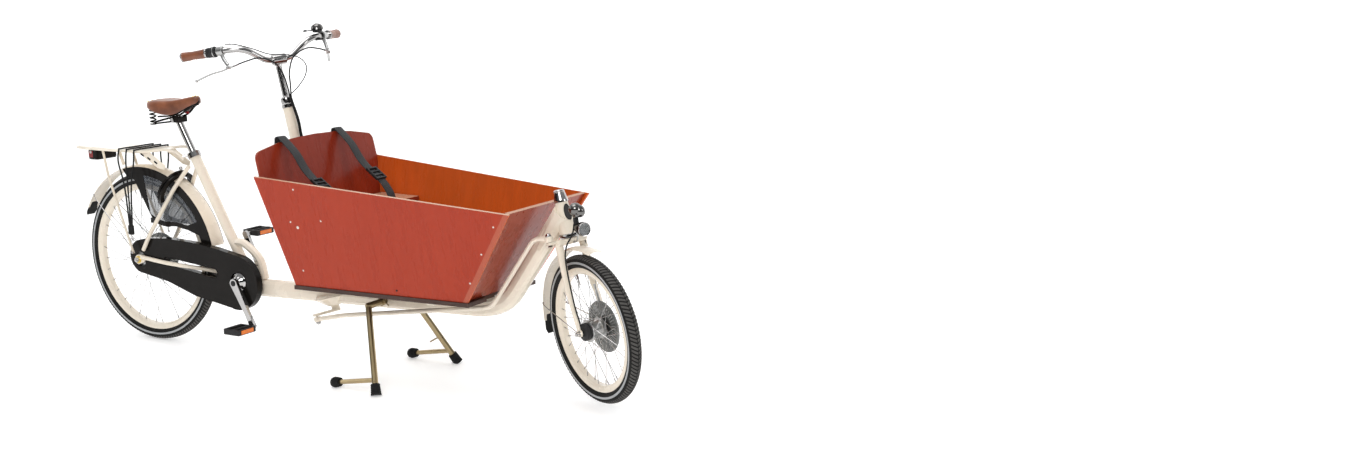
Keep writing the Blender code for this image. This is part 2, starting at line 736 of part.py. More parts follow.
def seat_clamp(frame):
    """Collar at the top of the seat tube with its quick-release lever."""
    ring = turned([(0.0245, 0.010), (0.0245, -0.010), (SEAT_TUBE_R + 0.0005, -0.010),
                   (SEAT_TUBE_R + 0.0005, 0.010)], 16,
                  between(seat_axis(0.004), seat_axis(0.016)), ring=True)
    start = seat_axis(0.010) + Vector((-0.021, -0.010, 0))
    end = seat_axis(0.010) + Vector((-0.040, -0.034, -0.008))
    lever = rod(start, end, 0.0055, 0.0040, 8)
    part("seat_clamp", combined(ring, [lever]), frame, CHROME)


def rear_brake(frame):
    """Finned roller brake beside the hub, with the arm that holds it to the chain stay."""
    disc = [(0.0090, 0.056), (0.030, 0.056), (0.034, 0.050), (0.078, 0.050), (0.085, 0.047),
            (0.085, 0.043), (0.078, 0.040), (0.0090, 0.040)]
    drum = turned(flipped(disc), 24, Matrix.Translation((0, 0, REAR_R)) @ ACROSS, ring=True)
    arm = bar([(0.060, 0.053, REAR_R - 0.006), (0.150, 0.0555, 0.3120), (0.196, 0.0480, 0.3090)],
              0.0042)
    part("rear_brake", combined(drum, [arm]), frame, ALLOY)


# ---- wheels -------------------------------------------------------------------------------
def tyre(body, radius, name):
    """Round section with a flat seat on the rim."""
    half = TYRE_W / 2
    centre = radius - half
    seat = centre - half * 0.80
    angles = [math.degrees(math.asin(-0.80)) + i * (180 + 2 * 53.13) / 9 for i in range(10)]
    profile = [(centre + half * math.sin(math.radians(a)), half * math.cos(math.radians(a)))
               for a in angles]
    solid = turned(profile, WHEEL_STEPS, ACROSS, ring=True)
    part(name, solid, body, TYRE, 50)
    return seat


def rim(body, seat, name):
    """Box-section rim with raised edges."""
    top = seat - GAP
    low = top - RIM_DEPTH
    half = 0.0155
    profile = [(top, half), (top, -half), (low + 0.006, -half), (low, -0.009), (low, 0.009),
               (low + 0.006, half)]
    part(name, turned(profile, WHEEL_STEPS, ACROSS, ring=True), body, CREAM, 50)
    return low


def hub(body, rim_inner, flange_r, flange_y, profile, name):
    """Hub shell with its laced spokes."""
    solid = turned(profile, 18, ACROSS)
    spokes = []
    step = 360 / SPOKES_PER_FLANGE
    reach = rim_inner * math.cos(math.pi / WHEEL_STEPS) - 0.0008
    for side in (-1, 1):
        for k in range(SPOKES_PER_FLANGE):
            lead = 1 if k % 2 else -1
            rim_angle = k * step + (step / 2 if side > 0 else 0) + SPOKE_PHASE
            u, v = polar(flange_r - 0.002, rim_angle + lead * 52)
            p, q = polar(reach, rim_angle)
            inner = (u, side * (flange_y + lead * 0.0013), v)
            outer = (p, side * 0.004, q)
            spokes.append(rod(inner, outer, 0.0012, sides=3))
    part(name, combined(solid, spokes), body, ALLOY)


REAR_HUB = [(0, 0.0675), (0.0060, 0.0675), (0.0060, 0.0395), (0.026, 0.0390), (0.030, 0.032),
            (0.046, 0.030), (0.046, 0.026), (0.034, 0.024), (0.031, 0.0), (0.034, -0.024),
            (0.046, -0.026), (0.046, -0.030), (0.024, -0.033), (0.0170, -0.036),
            (0.0170, -0.0545), (0.0060, -0.0550), (0.0060, -0.0675), (0, -0.0675)]
FRONT_HUB = [(0, 0.0490), (0.0045, 0.0490), (0.0045, 0.0300), (0.020, 0.0295), (0.037, 0.0260),
             (0.037, 0.0220), (0.026, 0.0200), (0.023, 0.0), (0.026, -0.0180),
             (0.037, -0.0210), (0.037, -0.0250), (0.0285, -0.0270), (0.0285, -0.0440),
             (0.0150, -0.0470), (0.0045, -0.0475), (0.0045, -0.0490), (0, -0.0490)]


def flipped(profile):
    """The profile for ACROSS, which sends height +h to y -h."""
    return [(r, -h) for r, h in reversed(profile)]


def wheel(body, radius, flange_r, flange_y, hub_profile, where):
    seat = tyre(body, radius, where + "_tyre")
    rim_inner = rim(body, seat, where + "_rim")
    hub(body, rim_inner, flange_r, flange_y, flipped(hub_profile), where + "_hub")


# ---- drive --------------------------------------------------------------------------------
def crank_arm(y):
    """A tapered arm from the axle, hanging straight down in the crank's own frame."""
    outline = arc(0.0165, 0, 180, 6) + arc(0.0115, 180, 360, 6, (0, -CRANK))
    return plate(outline, 0.0125, upright(y))


def crankset(body):
    axle = rod((0, -0.090, 0), (0, 0.075, 0), 0.0088)
    right = crank_arm(-0.0845)
    left = crank_arm(0.0700)
    left.data.transform(Matrix.Rotation(math.pi, 4, "Y"))
    ring = turned(flipped([(0, -0.0475), (CHAINRING_R - 0.0052, -0.0475),
                           (CHAINRING_R - 0.0052, -0.0505), (0.036, -0.0505), (0.036, -0.0620),
                           (0.026, -0.0680), (0.020, -0.0790), (0, -0.0790)]), 28, ACROSS)
    part("crankset", combined(axle, [right, left, ring]), body, CHROME)


def sprocket(body):
    profile = [(0.0178, CHAIN_Y + 0.002), (0.0178, CHAIN_Y - 0.002),
               (SPROCKET_R - 0.0050, CHAIN_Y - 0.002), (SPROCKET_R - 0.0050, CHAIN_Y + 0.002)]
    part("sprocket", turned(flipped(profile), 20, ACROSS, ring=True), body, ALLOY)


def pedal(body, side, name):
    """Platform with an open grid, on its own spindle, which runs outwards from the arm."""
    middle = side * 0.061
    body_solid = block((0.074, 0.088, 0.026), (0, middle, 0), 0.004)
    windows = [block((0.020, 0.062, 0.05), (x, middle, 0)) for x in (-0.021, 0.021)]
    spindle = rod((0, side * 0.0072, 0), (0, side * 0.030, 0), 0.0065)
    part(name, combined(cut(body_solid, *windows), [spindle]), body, PLASTIC)


# ---- seat ---------------------------------------------------------------------------------
def seat_post(body):
    """Post, saddle clamp, rails and spring cores, in the frame of the seat tube's top."""
    top = Vector(SEAT_TOP)

    def at(x, y, z):
        return (x - top.x, y, z - top.z)

    upper = seat_axis(-0.135) - top
    lower = seat_axis(0.170) - top
    post = rod(lower, upper, 0.0134, sides=14)
    pieces = [block((0.040, 0.056, 0.026), at(0.186, 0, 0.868), 0.004)]
    for side in (-1, 1):
        rail = [at(0.108, side * 0.046, 0.857), at(0.150, side * 0.028, 0.870),
                at(0.215, side * 0.020, 0.884), at(0.276, side * 0.008, 0.930)]
        pieces.append(bar(rounded(rail, 0.03, 2), 0.0038, 1))
        pieces.append(rod(at(0.105, side * 0.048, 0.851), at(0.103, side * 0.048, 0.9220), 0.0100))
    pieces.append(rod(at(0.107, -0.050, 0.856), at(0.107, 0.050, 0.856), 0.0040, sides=8))
    pieces.append(block((0.022, 0.022, 0.020), at(0.273, 0, 0.9330), 0.003))
    part("seat_post", combined(post, pieces), body, CHROME)


def saddle(body):
    """Leather top: an open grid over the stations below, given its thickness by Solidify."""
    stations = [  # x, half width, crown height, how far the skirt hangs down
        (0.079, 0.044, 0.932, 0.007), (0.088, 0.061, 0.937, 0.013), (0.107, 0.073, 0.941, 0.021),
        (0.131, 0.074, 0.942, 0.031), (0.157, 0.065, 0.942, 0.041), (0.185, 0.051, 0.942, 0.046),
        (0.215, 0.037, 0.946, 0.042), (0.248, 0.028, 0.952, 0.028), (0.280, 0.021, 0.957, 0.017),
        (0.298, 0.012, 0.954, 0.010)]
    across = 10
    mesh = bpy.data.meshes.new("saddle")
    form = bmesh.new()
    rows = []
    for x, half, crown, skirt in stations:
        row = []
        for i in range(across + 1):
            u = -1 + 2 * i / across
            bend = max(0.0, abs(u) - 0.62) / 0.38
            y = math.copysign(half * (1 - (1 - min(abs(u) / 0.78, 1)) ** 1.25), u)
            z = crown - 0.012 * (abs(u) ** 2) - skirt * bend**1.5
            row.append(form.verts.new((x - SEAT_TOP[0], y, z - SEAT_TOP[2])))
        rows.append(row)
    for a, b in zip(rows, rows[1:]):
        for i in range(across):
            form.faces.new((a[i], b[i], b[i + 1], a[i + 1]))
    form.to_mesh(mesh)
    form.free()
    obj = new_object("saddle", mesh)
    modifier = obj.modifiers.new("leather", "SOLIDIFY")
    modifier.thickness = 0.0045
    modifier.offset = 0
    part("saddle", settled(obj), body, LEATHER, 60)


# ---- steering column and handlebar (in the frame of the column's axis) ---------------------
CLAMP = Vector((0.018, 0, 0.160))
BAR_CORNER = Vector((-0.004, 0.186, 0.2225))
BAR_END = Vector((-0.113, 0.290, 0.233))
BAR_TUBE_R = 0.0112
PERCH_AT = 0.006  # from the bar's corner outwards
LEVER_PIVOT = Vector((0.020, 0.186, 0.158))


def bar_point(along, side):
    """A point on the straight outer stretch of the bar, measured outwards from its corner."""
    point = BAR_CORNER + (BAR_END - BAR_CORNER).normalized() * along
    return Vector((point.x, side * point.y, point.z))


def steering_column(body):
    """Inner tube with the steering arm and its stud at the foot."""
    tube = rod((0, 0, -0.756), (0, 0, -0.0030), 0.0145, sides=16)
    arm = block((0.026, STEER_ARM + 0.026, 0.0090), (0, -STEER_ARM / 2, -0.7570), 0.003)
    stud = rod((0, -STEER_ARM, -0.7600), (0, -STEER_ARM, -0.7644), 0.0040, sides=10)
    part("steering_column", combined(tube, [arm, stud]), body, CREAM)


def stem(body):
    profile = [(0, 0.150), (0.0112, 0.150), (0.0112, 0.028), (0.0150, 0.026), (0.0205, 0.020),
               (0.0205, 0.0), (0, 0.0)]
    quill = turned(profile, 18)
    neck = rod((0, 0, 0.144), CLAMP, 0.0125, 0.0150, 12)
    cap = ball(0.0130, (0, 0, 0.150), 12)
    barrel = rod(CLAMP + Vector((0, -0.024, 0)), CLAMP + Vector((0, 0.024, 0)), 0.0195, sides=16)
    whole = combined(quill, [neck, cap, barrel])
    bore = rod(CLAMP + Vector((0, -0.05, 0)), CLAMP + Vector((0, 0.05, 0)), BAR_TUBE_R + 0.0014,
               sides=16)
    part("stem", cut(whole, bore), body, CHROME)


def handlebar(body):
    """Swept-back bar with the two brake brackets clamped to it."""
    half = [CLAMP, CLAMP + Vector((0, 0.044, 0.001)), Vector((0.028, 0.122, 0.216)), BAR_CORNER,
            BAR_END]
    left = rounded(half, 0.050, 3)
    right = [mirrored(p) for p in reversed(left[1:])]
    tube = bar([*right, *left], BAR_TUBE_R)
    pieces = []
    for side in (-1, 1):
        start, end = bar_point(PERCH_AT - 0.011, side), bar_point(PERCH_AT + 0.011, side)
        pieces.append(rod(start, end, 0.0165, sides=11))
        pivot = Vector((LEVER_PIVOT.x, side * LEVER_PIVOT.y, LEVER_PIVOT.z + 0.009))
        knee = (start + end) / 2 + Vector((0.012, 0, -0.030))
        pieces.append(bar(flowing([(start + end) / 2, knee, pivot], 5), 0.0058))
    part("handlebar", combined(tube, pieces), body, CHROME)


def grip(body, side, name):
    """Sleeve with a closed end, a little waisted between its two end rings."""
    near, far = bar_point(0.058, side), bar_point(0.1535, side)
    reach = (far - near).length / 2
    bore = BAR_TUBE_R + 0.0006
    profile = [(0, reach + 0.004), (0.0130, reach + 0.004), (0.0150, reach + 0.001),
               (0.0168, reach - 0.006), (0.0158, 0), (0.0168, -reach + 0.006), (0.0150, -reach),
               (bore, -reach), (bore, reach - 0.002), (0, reach - 0.002)]
    part(name, turned(profile, 16, between(near, far)), body, LEATHER)


def twist_shifter(body):
    """Ring that turns on the bar, inboard of the right grip; its frame is the bar's line."""
    profile = [(BAR_TUBE_R + 0.0016, 0.016), (0.0165, 0.016), (0.0175, 0.004), (0.0195, -0.006),
               (0.0195, -0.016), (BAR_TUBE_R + 0.0016, -0.016)]
    part("twist_shifter", turned(profile[::-1], 16, ring=True), body, PLASTIC)


def brake_lever(body, side, name):
    """Blade in the frame of its pivot, running back under the grip."""
    path = [(0.024, -0.006 * side, -0.001), (0.0, 0.0, 0.0), (-0.030, side * 0.012, -0.004),
            (-0.090, side * 0.036, -0.004), (-0.165, side * 0.066, -0.012)]
    blade = bar(flowing(path, 9), 0.0042, 1)
    tip = ball(0.0055, path[-1], 8)
    pin = Vector((path[-1][1], -path[-1][0], 0)).normalized() * 0.0080
    boss = rod(-pin, pin, 0.0058, sides=12)
    part(name, combined(blade, [tip, boss]), body, ALLOY)


def bell(body):
    base = bar_point(-0.028, 1) + Vector((0, 0, BAR_TUBE_R + 0.001))
    foot = rod(base, base + Vector((0, 0, 0.010)), 0.0060)
    dome_place = Matrix.Translation(base + Vector((0, 0, 0.008)))
    dome = turned([(0, 0.026), (0.010, 0.025), (0.019, 0.019), (0.0225, 0.010), (0.0225, 0.0),
                   (0, 0.0)], 18, dome_place)
    part("bell", combined(foot, [dome]), body, CHROME)


def bell_thumb(body):
    """Striker lever, in the frame of its pivot beside the dome."""
    shank = block((0.006, 0.024, 0.0035), (0, -0.011, 0), 0.001)
    pad = block((0.012, 0.010, 0.006), (0, -0.024, 0.001), 0.002)
    part("bell_thumb", combined(shank, [pad]), body, PLASTIC)


def bar_cables(body):
    """Brake and gear cables from the levers to the bundle ahead of the column."""
    bundle = [(0.030, 0.004, -0.020), (0.030, 0.002, 0.060)]
    right = flowing([*bundle, (0.034, -0.030, 0.128), (0.044, -0.110, 0.156),
                     (0.046, -0.176, 0.1585)], 13)
    gear = flowing([(0.030, 0.003, 0.040), (0.038, -0.020, 0.118), (0.056, -0.098, 0.206),
                    (0.034, -0.152, 0.233), (0.018, -0.1765, 0.2400)], 13)
    left = flowing([(0.030, 0.003, 0.0), (0.050, 0.040, 0.080), (0.060, 0.080, 0.130),
                    (0.062, 0.128, 0.150), (0.046, 0.176, 0.1585)], 13)
    strands = [bar(right, 0.0026, 1), bar(gear, 0.0022, 1), bar(left, 0.0026, 1)]
    part("bar_cables", combined(strands[0], strands[1:]), body, RUBBER)


# ---- fork (in the frame of the front steering axis) ----------------------------------------
def fork(body):
    """Steerer, crown with the steering arm, blades and dropouts."""
    steerer = rod((0, 0, -0.012), (0, 0, 0.152), 0.0143, sides=16)
    crown = block((0.040, 0.112, 0.021), (0.002, 0, -0.0140), 0.007)
    pieces = [crown]
    arm = block((0.022, 0.052, 0.0085), (0.002, -0.060, -0.0085), 0.003)
    pieces.append(arm)
    for side in (-1, 1):
        start = (0.003, side * 0.0450, -0.012)
        knee = (0.006, side * 0.0490, -0.170)
        end = (FORK_RAKE, side * 0.0565, -FORK_DROP)
        pieces.append(rod(start, knee, 0.0135, 0.0115, 12))
        pieces.append(rod((0.005, side * 0.0487, -0.162), end, 0.0112, 0.0060, 10))
        drop = (end[0], side * 0.0520, end[2])
        tab = (end[0], side * 0.0590, end[2])
        pieces.append(rod(drop, tab, 0.0125, sides=12))
        pieces.append(rod(tab, (end[0], side * 0.0680, end[2]), 0.0085, sides=6))
    part("fork", combined(steerer, pieces), body, CREAM)


def front_fender(body):
    centre = (FORK_RAKE, 0, -FORK_DROP)
    skin = swept_fender(FRONT_FENDER_R, 0.0275, 66, 172, 18, centre)
    low = polar(FRONT_FENDER_R - 0.004, 170, (FORK_RAKE, -FORK_DROP))
    flap = block((0.004, 0.050, 0.064), (0, 0, -0.026), 0.001,
                 Matrix.Translation((low[0], 0, low[1])) @ Matrix.Rotation(0.16, 4, "Y"))
    part("front_fender", combined(skin, [flap]), body, CREAM)


def headlamp(body):
    """Round lamp under its housing, on a bracket ahead of the crown."""
    reach = 0.0203
    cup = turned([(0, reach), (0.0215, reach), (0.0235, reach - 0.003), (0.0235, reach - 0.010),
                  (0.0140, -reach), (0, -reach)], 18, between((0.066, 0, 0.030), (0.106, 0, 0.0225)))
    housing = block((0.048, 0.044, 0.042), (0.0830, 0, 0.0780), 0.010)
    neck = rod((0.0660, 0, 0.0310), (0.0730, 0, 0.0720), 0.0072, sides=12)
    bracket = bar(rounded([(0.0235, 0, -0.020), (0.050, 0, -0.016), (0.0640, 0, 0.0290)], 0.02, 3),
                  0.0042)
    part("headlamp", combined(cup, [housing, neck, bracket]), body, BLACK)


def front_brake(body):
    """Finned roller brake beside the hub, with its reaction arm to the fork blade."""
    disc = [(0.0060, 0.0480), (0.026, 0.0480), (0.030, 0.0424), (0.080, 0.0424), (0.087, 0.0400),
            (0.087, 0.0360), (0.080, 0.0340), (0.030, 0.0340), (0.026, 0.0310), (0.0060, 0.0310)]
    place = Matrix.Translation((FORK_RAKE, 0, -FORK_DROP)) @ ACROSS
    drum = turned(flipped(disc), 28, place, ring=True)
    arm = bar([(FORK_RAKE + 0.006, 0.0390, -FORK_DROP + 0.030), (0.0320, 0.0385, -0.215),
               (0.0290, 0.0370, -0.170)], 0.0036)
    part("front_brake", combined(drum, [arm]), body, ALLOY)


# ---- steering rod (in the frame of the column's foot, not turned) ---------------------------
def rod_ends():
    """World places of the rod's two eyes, from the steered arms."""
    swing = Matrix.Rotation(-STEER_TILT, 4, "Y") @ Matrix.Rotation(-STEER_TURN, 4, "Z")
    rear = Matrix.Translation(COLUMN) @ swing @ Vector((0, -STEER_ARM, -0.7735))
    front = Matrix.Translation(HEAD) @ swing @ Vector((0, -STEER_ARM, 0.0060))
    return rear, front


def steering_rod(body, origin):
    rear, front = rod_ends()
    y = rear.y
    path = [rear, (1.000, y, 0.2150), (1.638, y, 0.3130), (1.815, y, 0.5630), front]
    path = [Vector(p) - Vector(origin) for p in path]
    tube = bar(rounded(path, 0.026, 3), 0.0080)
    lean = Matrix.Rotation(-STEER_TILT, 4, "Y")
    eyes = []
    for end in (rear, front):
        place = Matrix.Translation(Vector(end) - Vector(origin)) @ lean
        eyes.append(turned([(0, 0.0088), (0.0115, 0.0088), (0.0140, 0.0040), (0.0140, -0.0040),
                            (0.0115, -0.0088), (0, -0.0088)], 12, place))
    part("steering_rod", combined(tube, eyes), body, CREAM)


# ---- stand (in the frame of its pivot) -----------------------------------------------------
def stand_line(side):
    """The leg's axis, from its pivot end to where it would meet the ground."""
    x, _, z = STAND_PIVOT
    return Vector((0, side * 0.112, 0)), Vector((STAND_FOOT[0] - x, side * STAND_FOOT[1], -z))


def stand_bar(side):
    """The bar from low on the leg back to the rear foot."""
    top, ground = stand_line(side)
    start = ground - (ground - top).normalized() * 0.0560
    x, _, z = STAND_PIVOT
    return start, Vector((STAND_REAR_X + 0.022 - x, start.y, 0.0215 - z))


def stand(body):
    """Two splayed legs on one pivot tube, each with a bar that runs back to its rear foot."""
    pieces = []
    for side in (-1, 1):
        top, ground = stand_line(side)
        run = (ground - top).normalized()
        foot_top = ground - run * 0.0420
        pieces.append(rod(top, foot_top, 0.0110, sides=10))
        pieces.append(ball(0.0122, top, 10))
        pieces.append(rod(*stand_bar(side), 0.0085, sides=10))
    left_top, left_ground = stand_line(1)
    tab = left_top.lerp(left_ground, 0.62)
    pieces.append(rod(tab, tab + Vector((-0.032, -0.018, -0.020)), 0.0028, sides=8))
    tube = rod((0, -0.112, 0), (0, 0.112, 0), 0.0118, sides=14)
    part("stand", combined(tube, pieces), body, ZINC)


def stand_feet(body):
    pivot_z = STAND_PIVOT[2]
    for side, word in ((-1, "right"), (1, "left")):
        top, ground = stand_line(side)
        run = (ground - top).normalized()
        sole = block((0.3, 0.3, 0.1), (ground.x, ground.y, -pivot_z - 0.05))
        front = rod(ground - run * (0.0420 - GAP), ground + run * 0.010, 0.0160, 0.0190, 14)
        part("stand_foot_front_" + word, cut(front, sole), body, RUBBER)
        start, end = stand_bar(side)
        back = (end - start).normalized()
        place = end + back * 0.0220
        sole = block((0.3, 0.3, 0.1), (place.x, place.y, -pivot_z - 0.05))
        rear = combined(rod(place, end + back * GAP, 0.0170, 0.0150, 10), [ball(0.0195, place, 12)])
        part("stand_foot_rear_" + word, cut(rear, sole), body, RUBBER)


# ---- the whole bicycle ---------------------------------------------------------------------
def build():
    for obj in list(bpy.data.objects):
        bpy.data.objects.remove(obj)
    parts = bpy.data.collections.new("cargo_bicycle")
    bpy.context.scene.collection.children.link(parts)

    frame = axis("frame_origin", None, (REAR_AXLE_X, 0, 0))
    main_beam(frame)
    column_housing(frame)
    seat_tube(frame)
    for side, word in ((-1, "right"), (1, "left")):
        chain_stay(frame, side, "chain_stay_" + word)
        seat_stay(frame, side, "seat_stay_" + word)
        side_panel(frame, side, "box_side_" + word)
        coat_guard(frame, side, "coat_guard_" + word)
    front_panel(frame)
    backrest(frame)
    floor(frame)
    strap(frame, -0.165, "harness_strap_right")
    strap(frame, 0.125, "harness_strap_left")
    rack(frame)
    rear_light(frame)
    binder_straps(frame)
    rear_fender(frame)
    ring_lock(frame)
    chain_case(frame)
    chain(frame)
    seat_clamp(frame)
    rear_brake(frame)

    bench(axis("bench_hinge", frame, (0.915, 0, BENCH_Z)))

    lock_centre = axis("lock_centre", frame, lock_place().translation)
    lock_centre.rotation_euler = lock_place().to_euler("ZYX")
    lock_bolt(lock_centre)

    rear_axle = axis("rear_axle", frame, (0, 0, REAR_R))
    wheel(rear_axle, REAR_R, 0.0435, 0.028, REAR_HUB, "rear")
    sprocket(axis("sprocket_axis", frame, (0, 0, REAR_R)))

    crank = axis("crank_axis", frame, BB, about_y=-CRANK_LEAN)
    crankset(crank)
    right_end = axis("pedal_axis_right", crank, (0, -0.0910, -CRANK), about_y=CRANK_LEAN)
    left_end = axis("pedal_axis_left", crank, (0, 0.0765, CRANK), about_y=CRANK_LEAN)
    pedal(right_end, -1, "pedal_right")
    pedal(left_end, 1, "pedal_left")

    post = axis("seat_post_slide", frame, SEAT_TOP)
    seat_post(post)
    saddle(post)

    column = axis("column_axis", frame, COLUMN, STEER_TILT, -STEER_TURN)
    steering_column(column)
    stem(column)
    handlebar(column)
    grip(column, -1, "grip_right")
    grip(column, 1, "grip_left")
    bell(column)
    bar_cables(column)

    shifter = axis("shifter_axis", column, bar_point(0.0395, -1))
    outward = bar_point(1, -1) - bar_point(0, -1)
    shifter.rotation_euler = outward.to_track_quat("Z", "Y").to_euler("ZYX")
    twist_shifter(shifter)
    for side, word in ((-1, "right"), (1, "left")):
        pivot = Vector((LEVER_PIVOT.x, side * LEVER_PIVOT.y, LEVER_PIVOT.z))
        brake_lever(axis("lever_axis_" + word, column, pivot), side, "brake_lever_" + word)
    thumb = bar_point(-0.028, 1) + Vector((0.004, -0.0245, BAR_TUBE_R + 0.012))
    bell_thumb(axis("bell_thumb_axis", column, thumb))

    steered_fork = axis("fork_axis", frame, HEAD, STEER_TILT, -STEER_TURN)
    fork(steered_fork)
    front_fender(steered_fork)
    headlamp(steered_fork)
    front_brake(steered_fork)
    front_axle = axis("front_axle", steered_fork, (FORK_RAKE, 0, -FORK_DROP))
    wheel(front_axle, FRONT_R, 0.0350, 0.0235, FRONT_HUB, "front")

    rod_origin = rod_ends()[0]
    steering_rod(axis("steering_rod_axis", frame, rod_origin), rod_origin)

    stand_pivot = axis("stand_pivot", frame, STAND_PIVOT)
    stand(stand_pivot)
    stand_feet(stand_pivot)


build()
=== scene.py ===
import json
import math

import bmesh
import bpy
from mathutils import Matrix, Vector
from mathutils.bvhtree import BVHTree


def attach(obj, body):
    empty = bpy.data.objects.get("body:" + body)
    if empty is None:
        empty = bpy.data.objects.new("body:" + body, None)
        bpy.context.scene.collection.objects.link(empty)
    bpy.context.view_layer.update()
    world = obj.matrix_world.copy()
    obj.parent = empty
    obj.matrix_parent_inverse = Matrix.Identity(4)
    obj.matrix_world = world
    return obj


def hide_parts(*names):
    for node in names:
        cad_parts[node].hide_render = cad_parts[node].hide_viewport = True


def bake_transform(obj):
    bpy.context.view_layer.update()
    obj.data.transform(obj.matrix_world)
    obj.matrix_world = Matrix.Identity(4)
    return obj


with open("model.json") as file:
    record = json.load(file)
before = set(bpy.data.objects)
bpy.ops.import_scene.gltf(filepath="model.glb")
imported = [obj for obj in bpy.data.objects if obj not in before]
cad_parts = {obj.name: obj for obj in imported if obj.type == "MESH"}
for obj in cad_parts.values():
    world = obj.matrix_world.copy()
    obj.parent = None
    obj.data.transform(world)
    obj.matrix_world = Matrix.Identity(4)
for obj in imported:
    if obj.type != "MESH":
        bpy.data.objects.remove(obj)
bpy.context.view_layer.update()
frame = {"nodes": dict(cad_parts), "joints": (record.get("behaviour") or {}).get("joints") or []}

JOINTS = {joint["name"]: joint for joint in frame["joints"]}
REAR_X = JOINTS["rear_wheel_spin"]["pos_m"][0]
TO_Y = Matrix.Rotation(-math.pi / 2, 4, "X")  # turns a lathe's axis from Z to +Y
UPRIGHT = Matrix.Rotation(math.pi / 2, 4, "X")  # stands a flat (x, z) outline up
SIDES = ((-1, "right"), (1, "left"))
LEFT = Vector((0, 1, 0))
REAR_RADIUS, FRONT_RADIUS = 0.3265, 0.25  # the tyres, outside
HALF_TYRE = 0.0235
HUB = (0.0, REAR_RADIUS)  # the rear axle in an (x, z) outline
STEER_ARM = 0.075  # from the steering axes out to the rod's balls
GUARD_Y = 0.0315  # how far out the coat guards stand
LOCK_PLACE = (0.309, 61.8)  # the ring lock's centre: distance and angle from the rear axle
LOCK_RADIUS = 0.071
move = Matrix.Translation


# ---- places -------------------------------------------------------------------------------
def at(x, y, z):
    """A point measured from the ground under the rear axle."""
    return Vector((x + REAR_X, y, z))


def pivot(name):
    """Where the joint turns or slides."""
    return Vector(JOINTS[name]["pos_m"])


def spin(angle, axis):
    return Matrix.Rotation(angle, 4, axis)


def aimed(run):
    """Turns Z along the run."""
    return run.to_track_quat("Z", "Y").to_matrix().to_4x4()


def standing(origin, left, up):
    """A frame at the origin with its Y to the left and its Z up."""
    return move(origin) @ Matrix((left.cross(up), left, up)).transposed().to_4x4()


STEER_UP = Vector(JOINTS["steering"]["axis"]).normalized()
STEER_LEFT = Vector(JOINTS["front_wheel_spin"]["axis"]).normalized()
GROUND = move((REAR_X, 0, 0))
COLUMN = standing(pivot("steering"), STEER_LEFT, STEER_UP)
FORK = standing(pivot("fork_turn"), STEER_LEFT, STEER_UP)
FRONT_AXLE = standing(pivot("front_wheel_spin"), STEER_LEFT, STEER_UP)
REAR_AXLE = move(pivot("rear_wheel_spin"))
HOUSING = standing(pivot("steering"), LEFT, STEER_UP)  # the column's tube on the frame
HEAD = standing(pivot("fork_turn"), LEFT, STEER_UP)  # the head tube


def polar(radius, degrees, centre=(0.0, 0.0)):
    """A point on a circle round the centre."""
    angle = math.radians(degrees)
    return (centre[0] + radius * math.cos(angle), centre[1] + radius * math.sin(angle))


def arc(radius, start, end, steps, centre=(0.0, 0.0)):
    """Points along a circle, from the start angle to the end angle."""
    return [polar(radius, start + (end - start) * i / steps, centre) for i in range(steps + 1)]


def flowing(points, count):
    """A smooth curve through the points, as a list of count points."""
    points = [Vector(p) for p in points]
    ends = [points[0] * 2 - points[1]] + points + [points[-1] * 2 - points[-2]]
    path = []
    for k in range(count):
        place = k * (len(points) - 1) / (count - 1)
        i = min(int(place), len(points) - 2)
        t = place - i
        a, b, c, d = ends[i : i + 4]
        path.append(((b * 2) + (c - a) * t + (a * 2 - b * 5 + c * 4 - d) * t**2
                     + (b * 3 - a - c * 3 + d) * t**3) / 2)
    return path


def rounded(points, bend, steps=6):
    """The polyline with each inner corner replaced by a smooth bend."""
    points = [Vector(p) for p in points]
    path = [points[0]]
    for before, corner, after in zip(points, points[1:], points[2:]):
        reach = min(bend, (corner - before).length * 0.49, (after - corner).length * 0.49)
        start = corner + (before - corner).normalized() * reach
        end = corner + (after - corner).normalized() * reach
        for i in range(steps + 1):
            t = i / steps
            path.append(start * (1 - t) ** 2 + corner * 2 * t * (1 - t) + end * t**2)
    return path + [points[-1]]


def between(a, b):
    """A frame halfway from a to b, its Z towards b."""
    a, b = Vector(a), Vector(b)
    return move((a + b) / 2) @ aimed(b - a)


def placed(points, place):
    """The points, moved into the place's frame."""
    return [place @ Vector(p) for p in points]


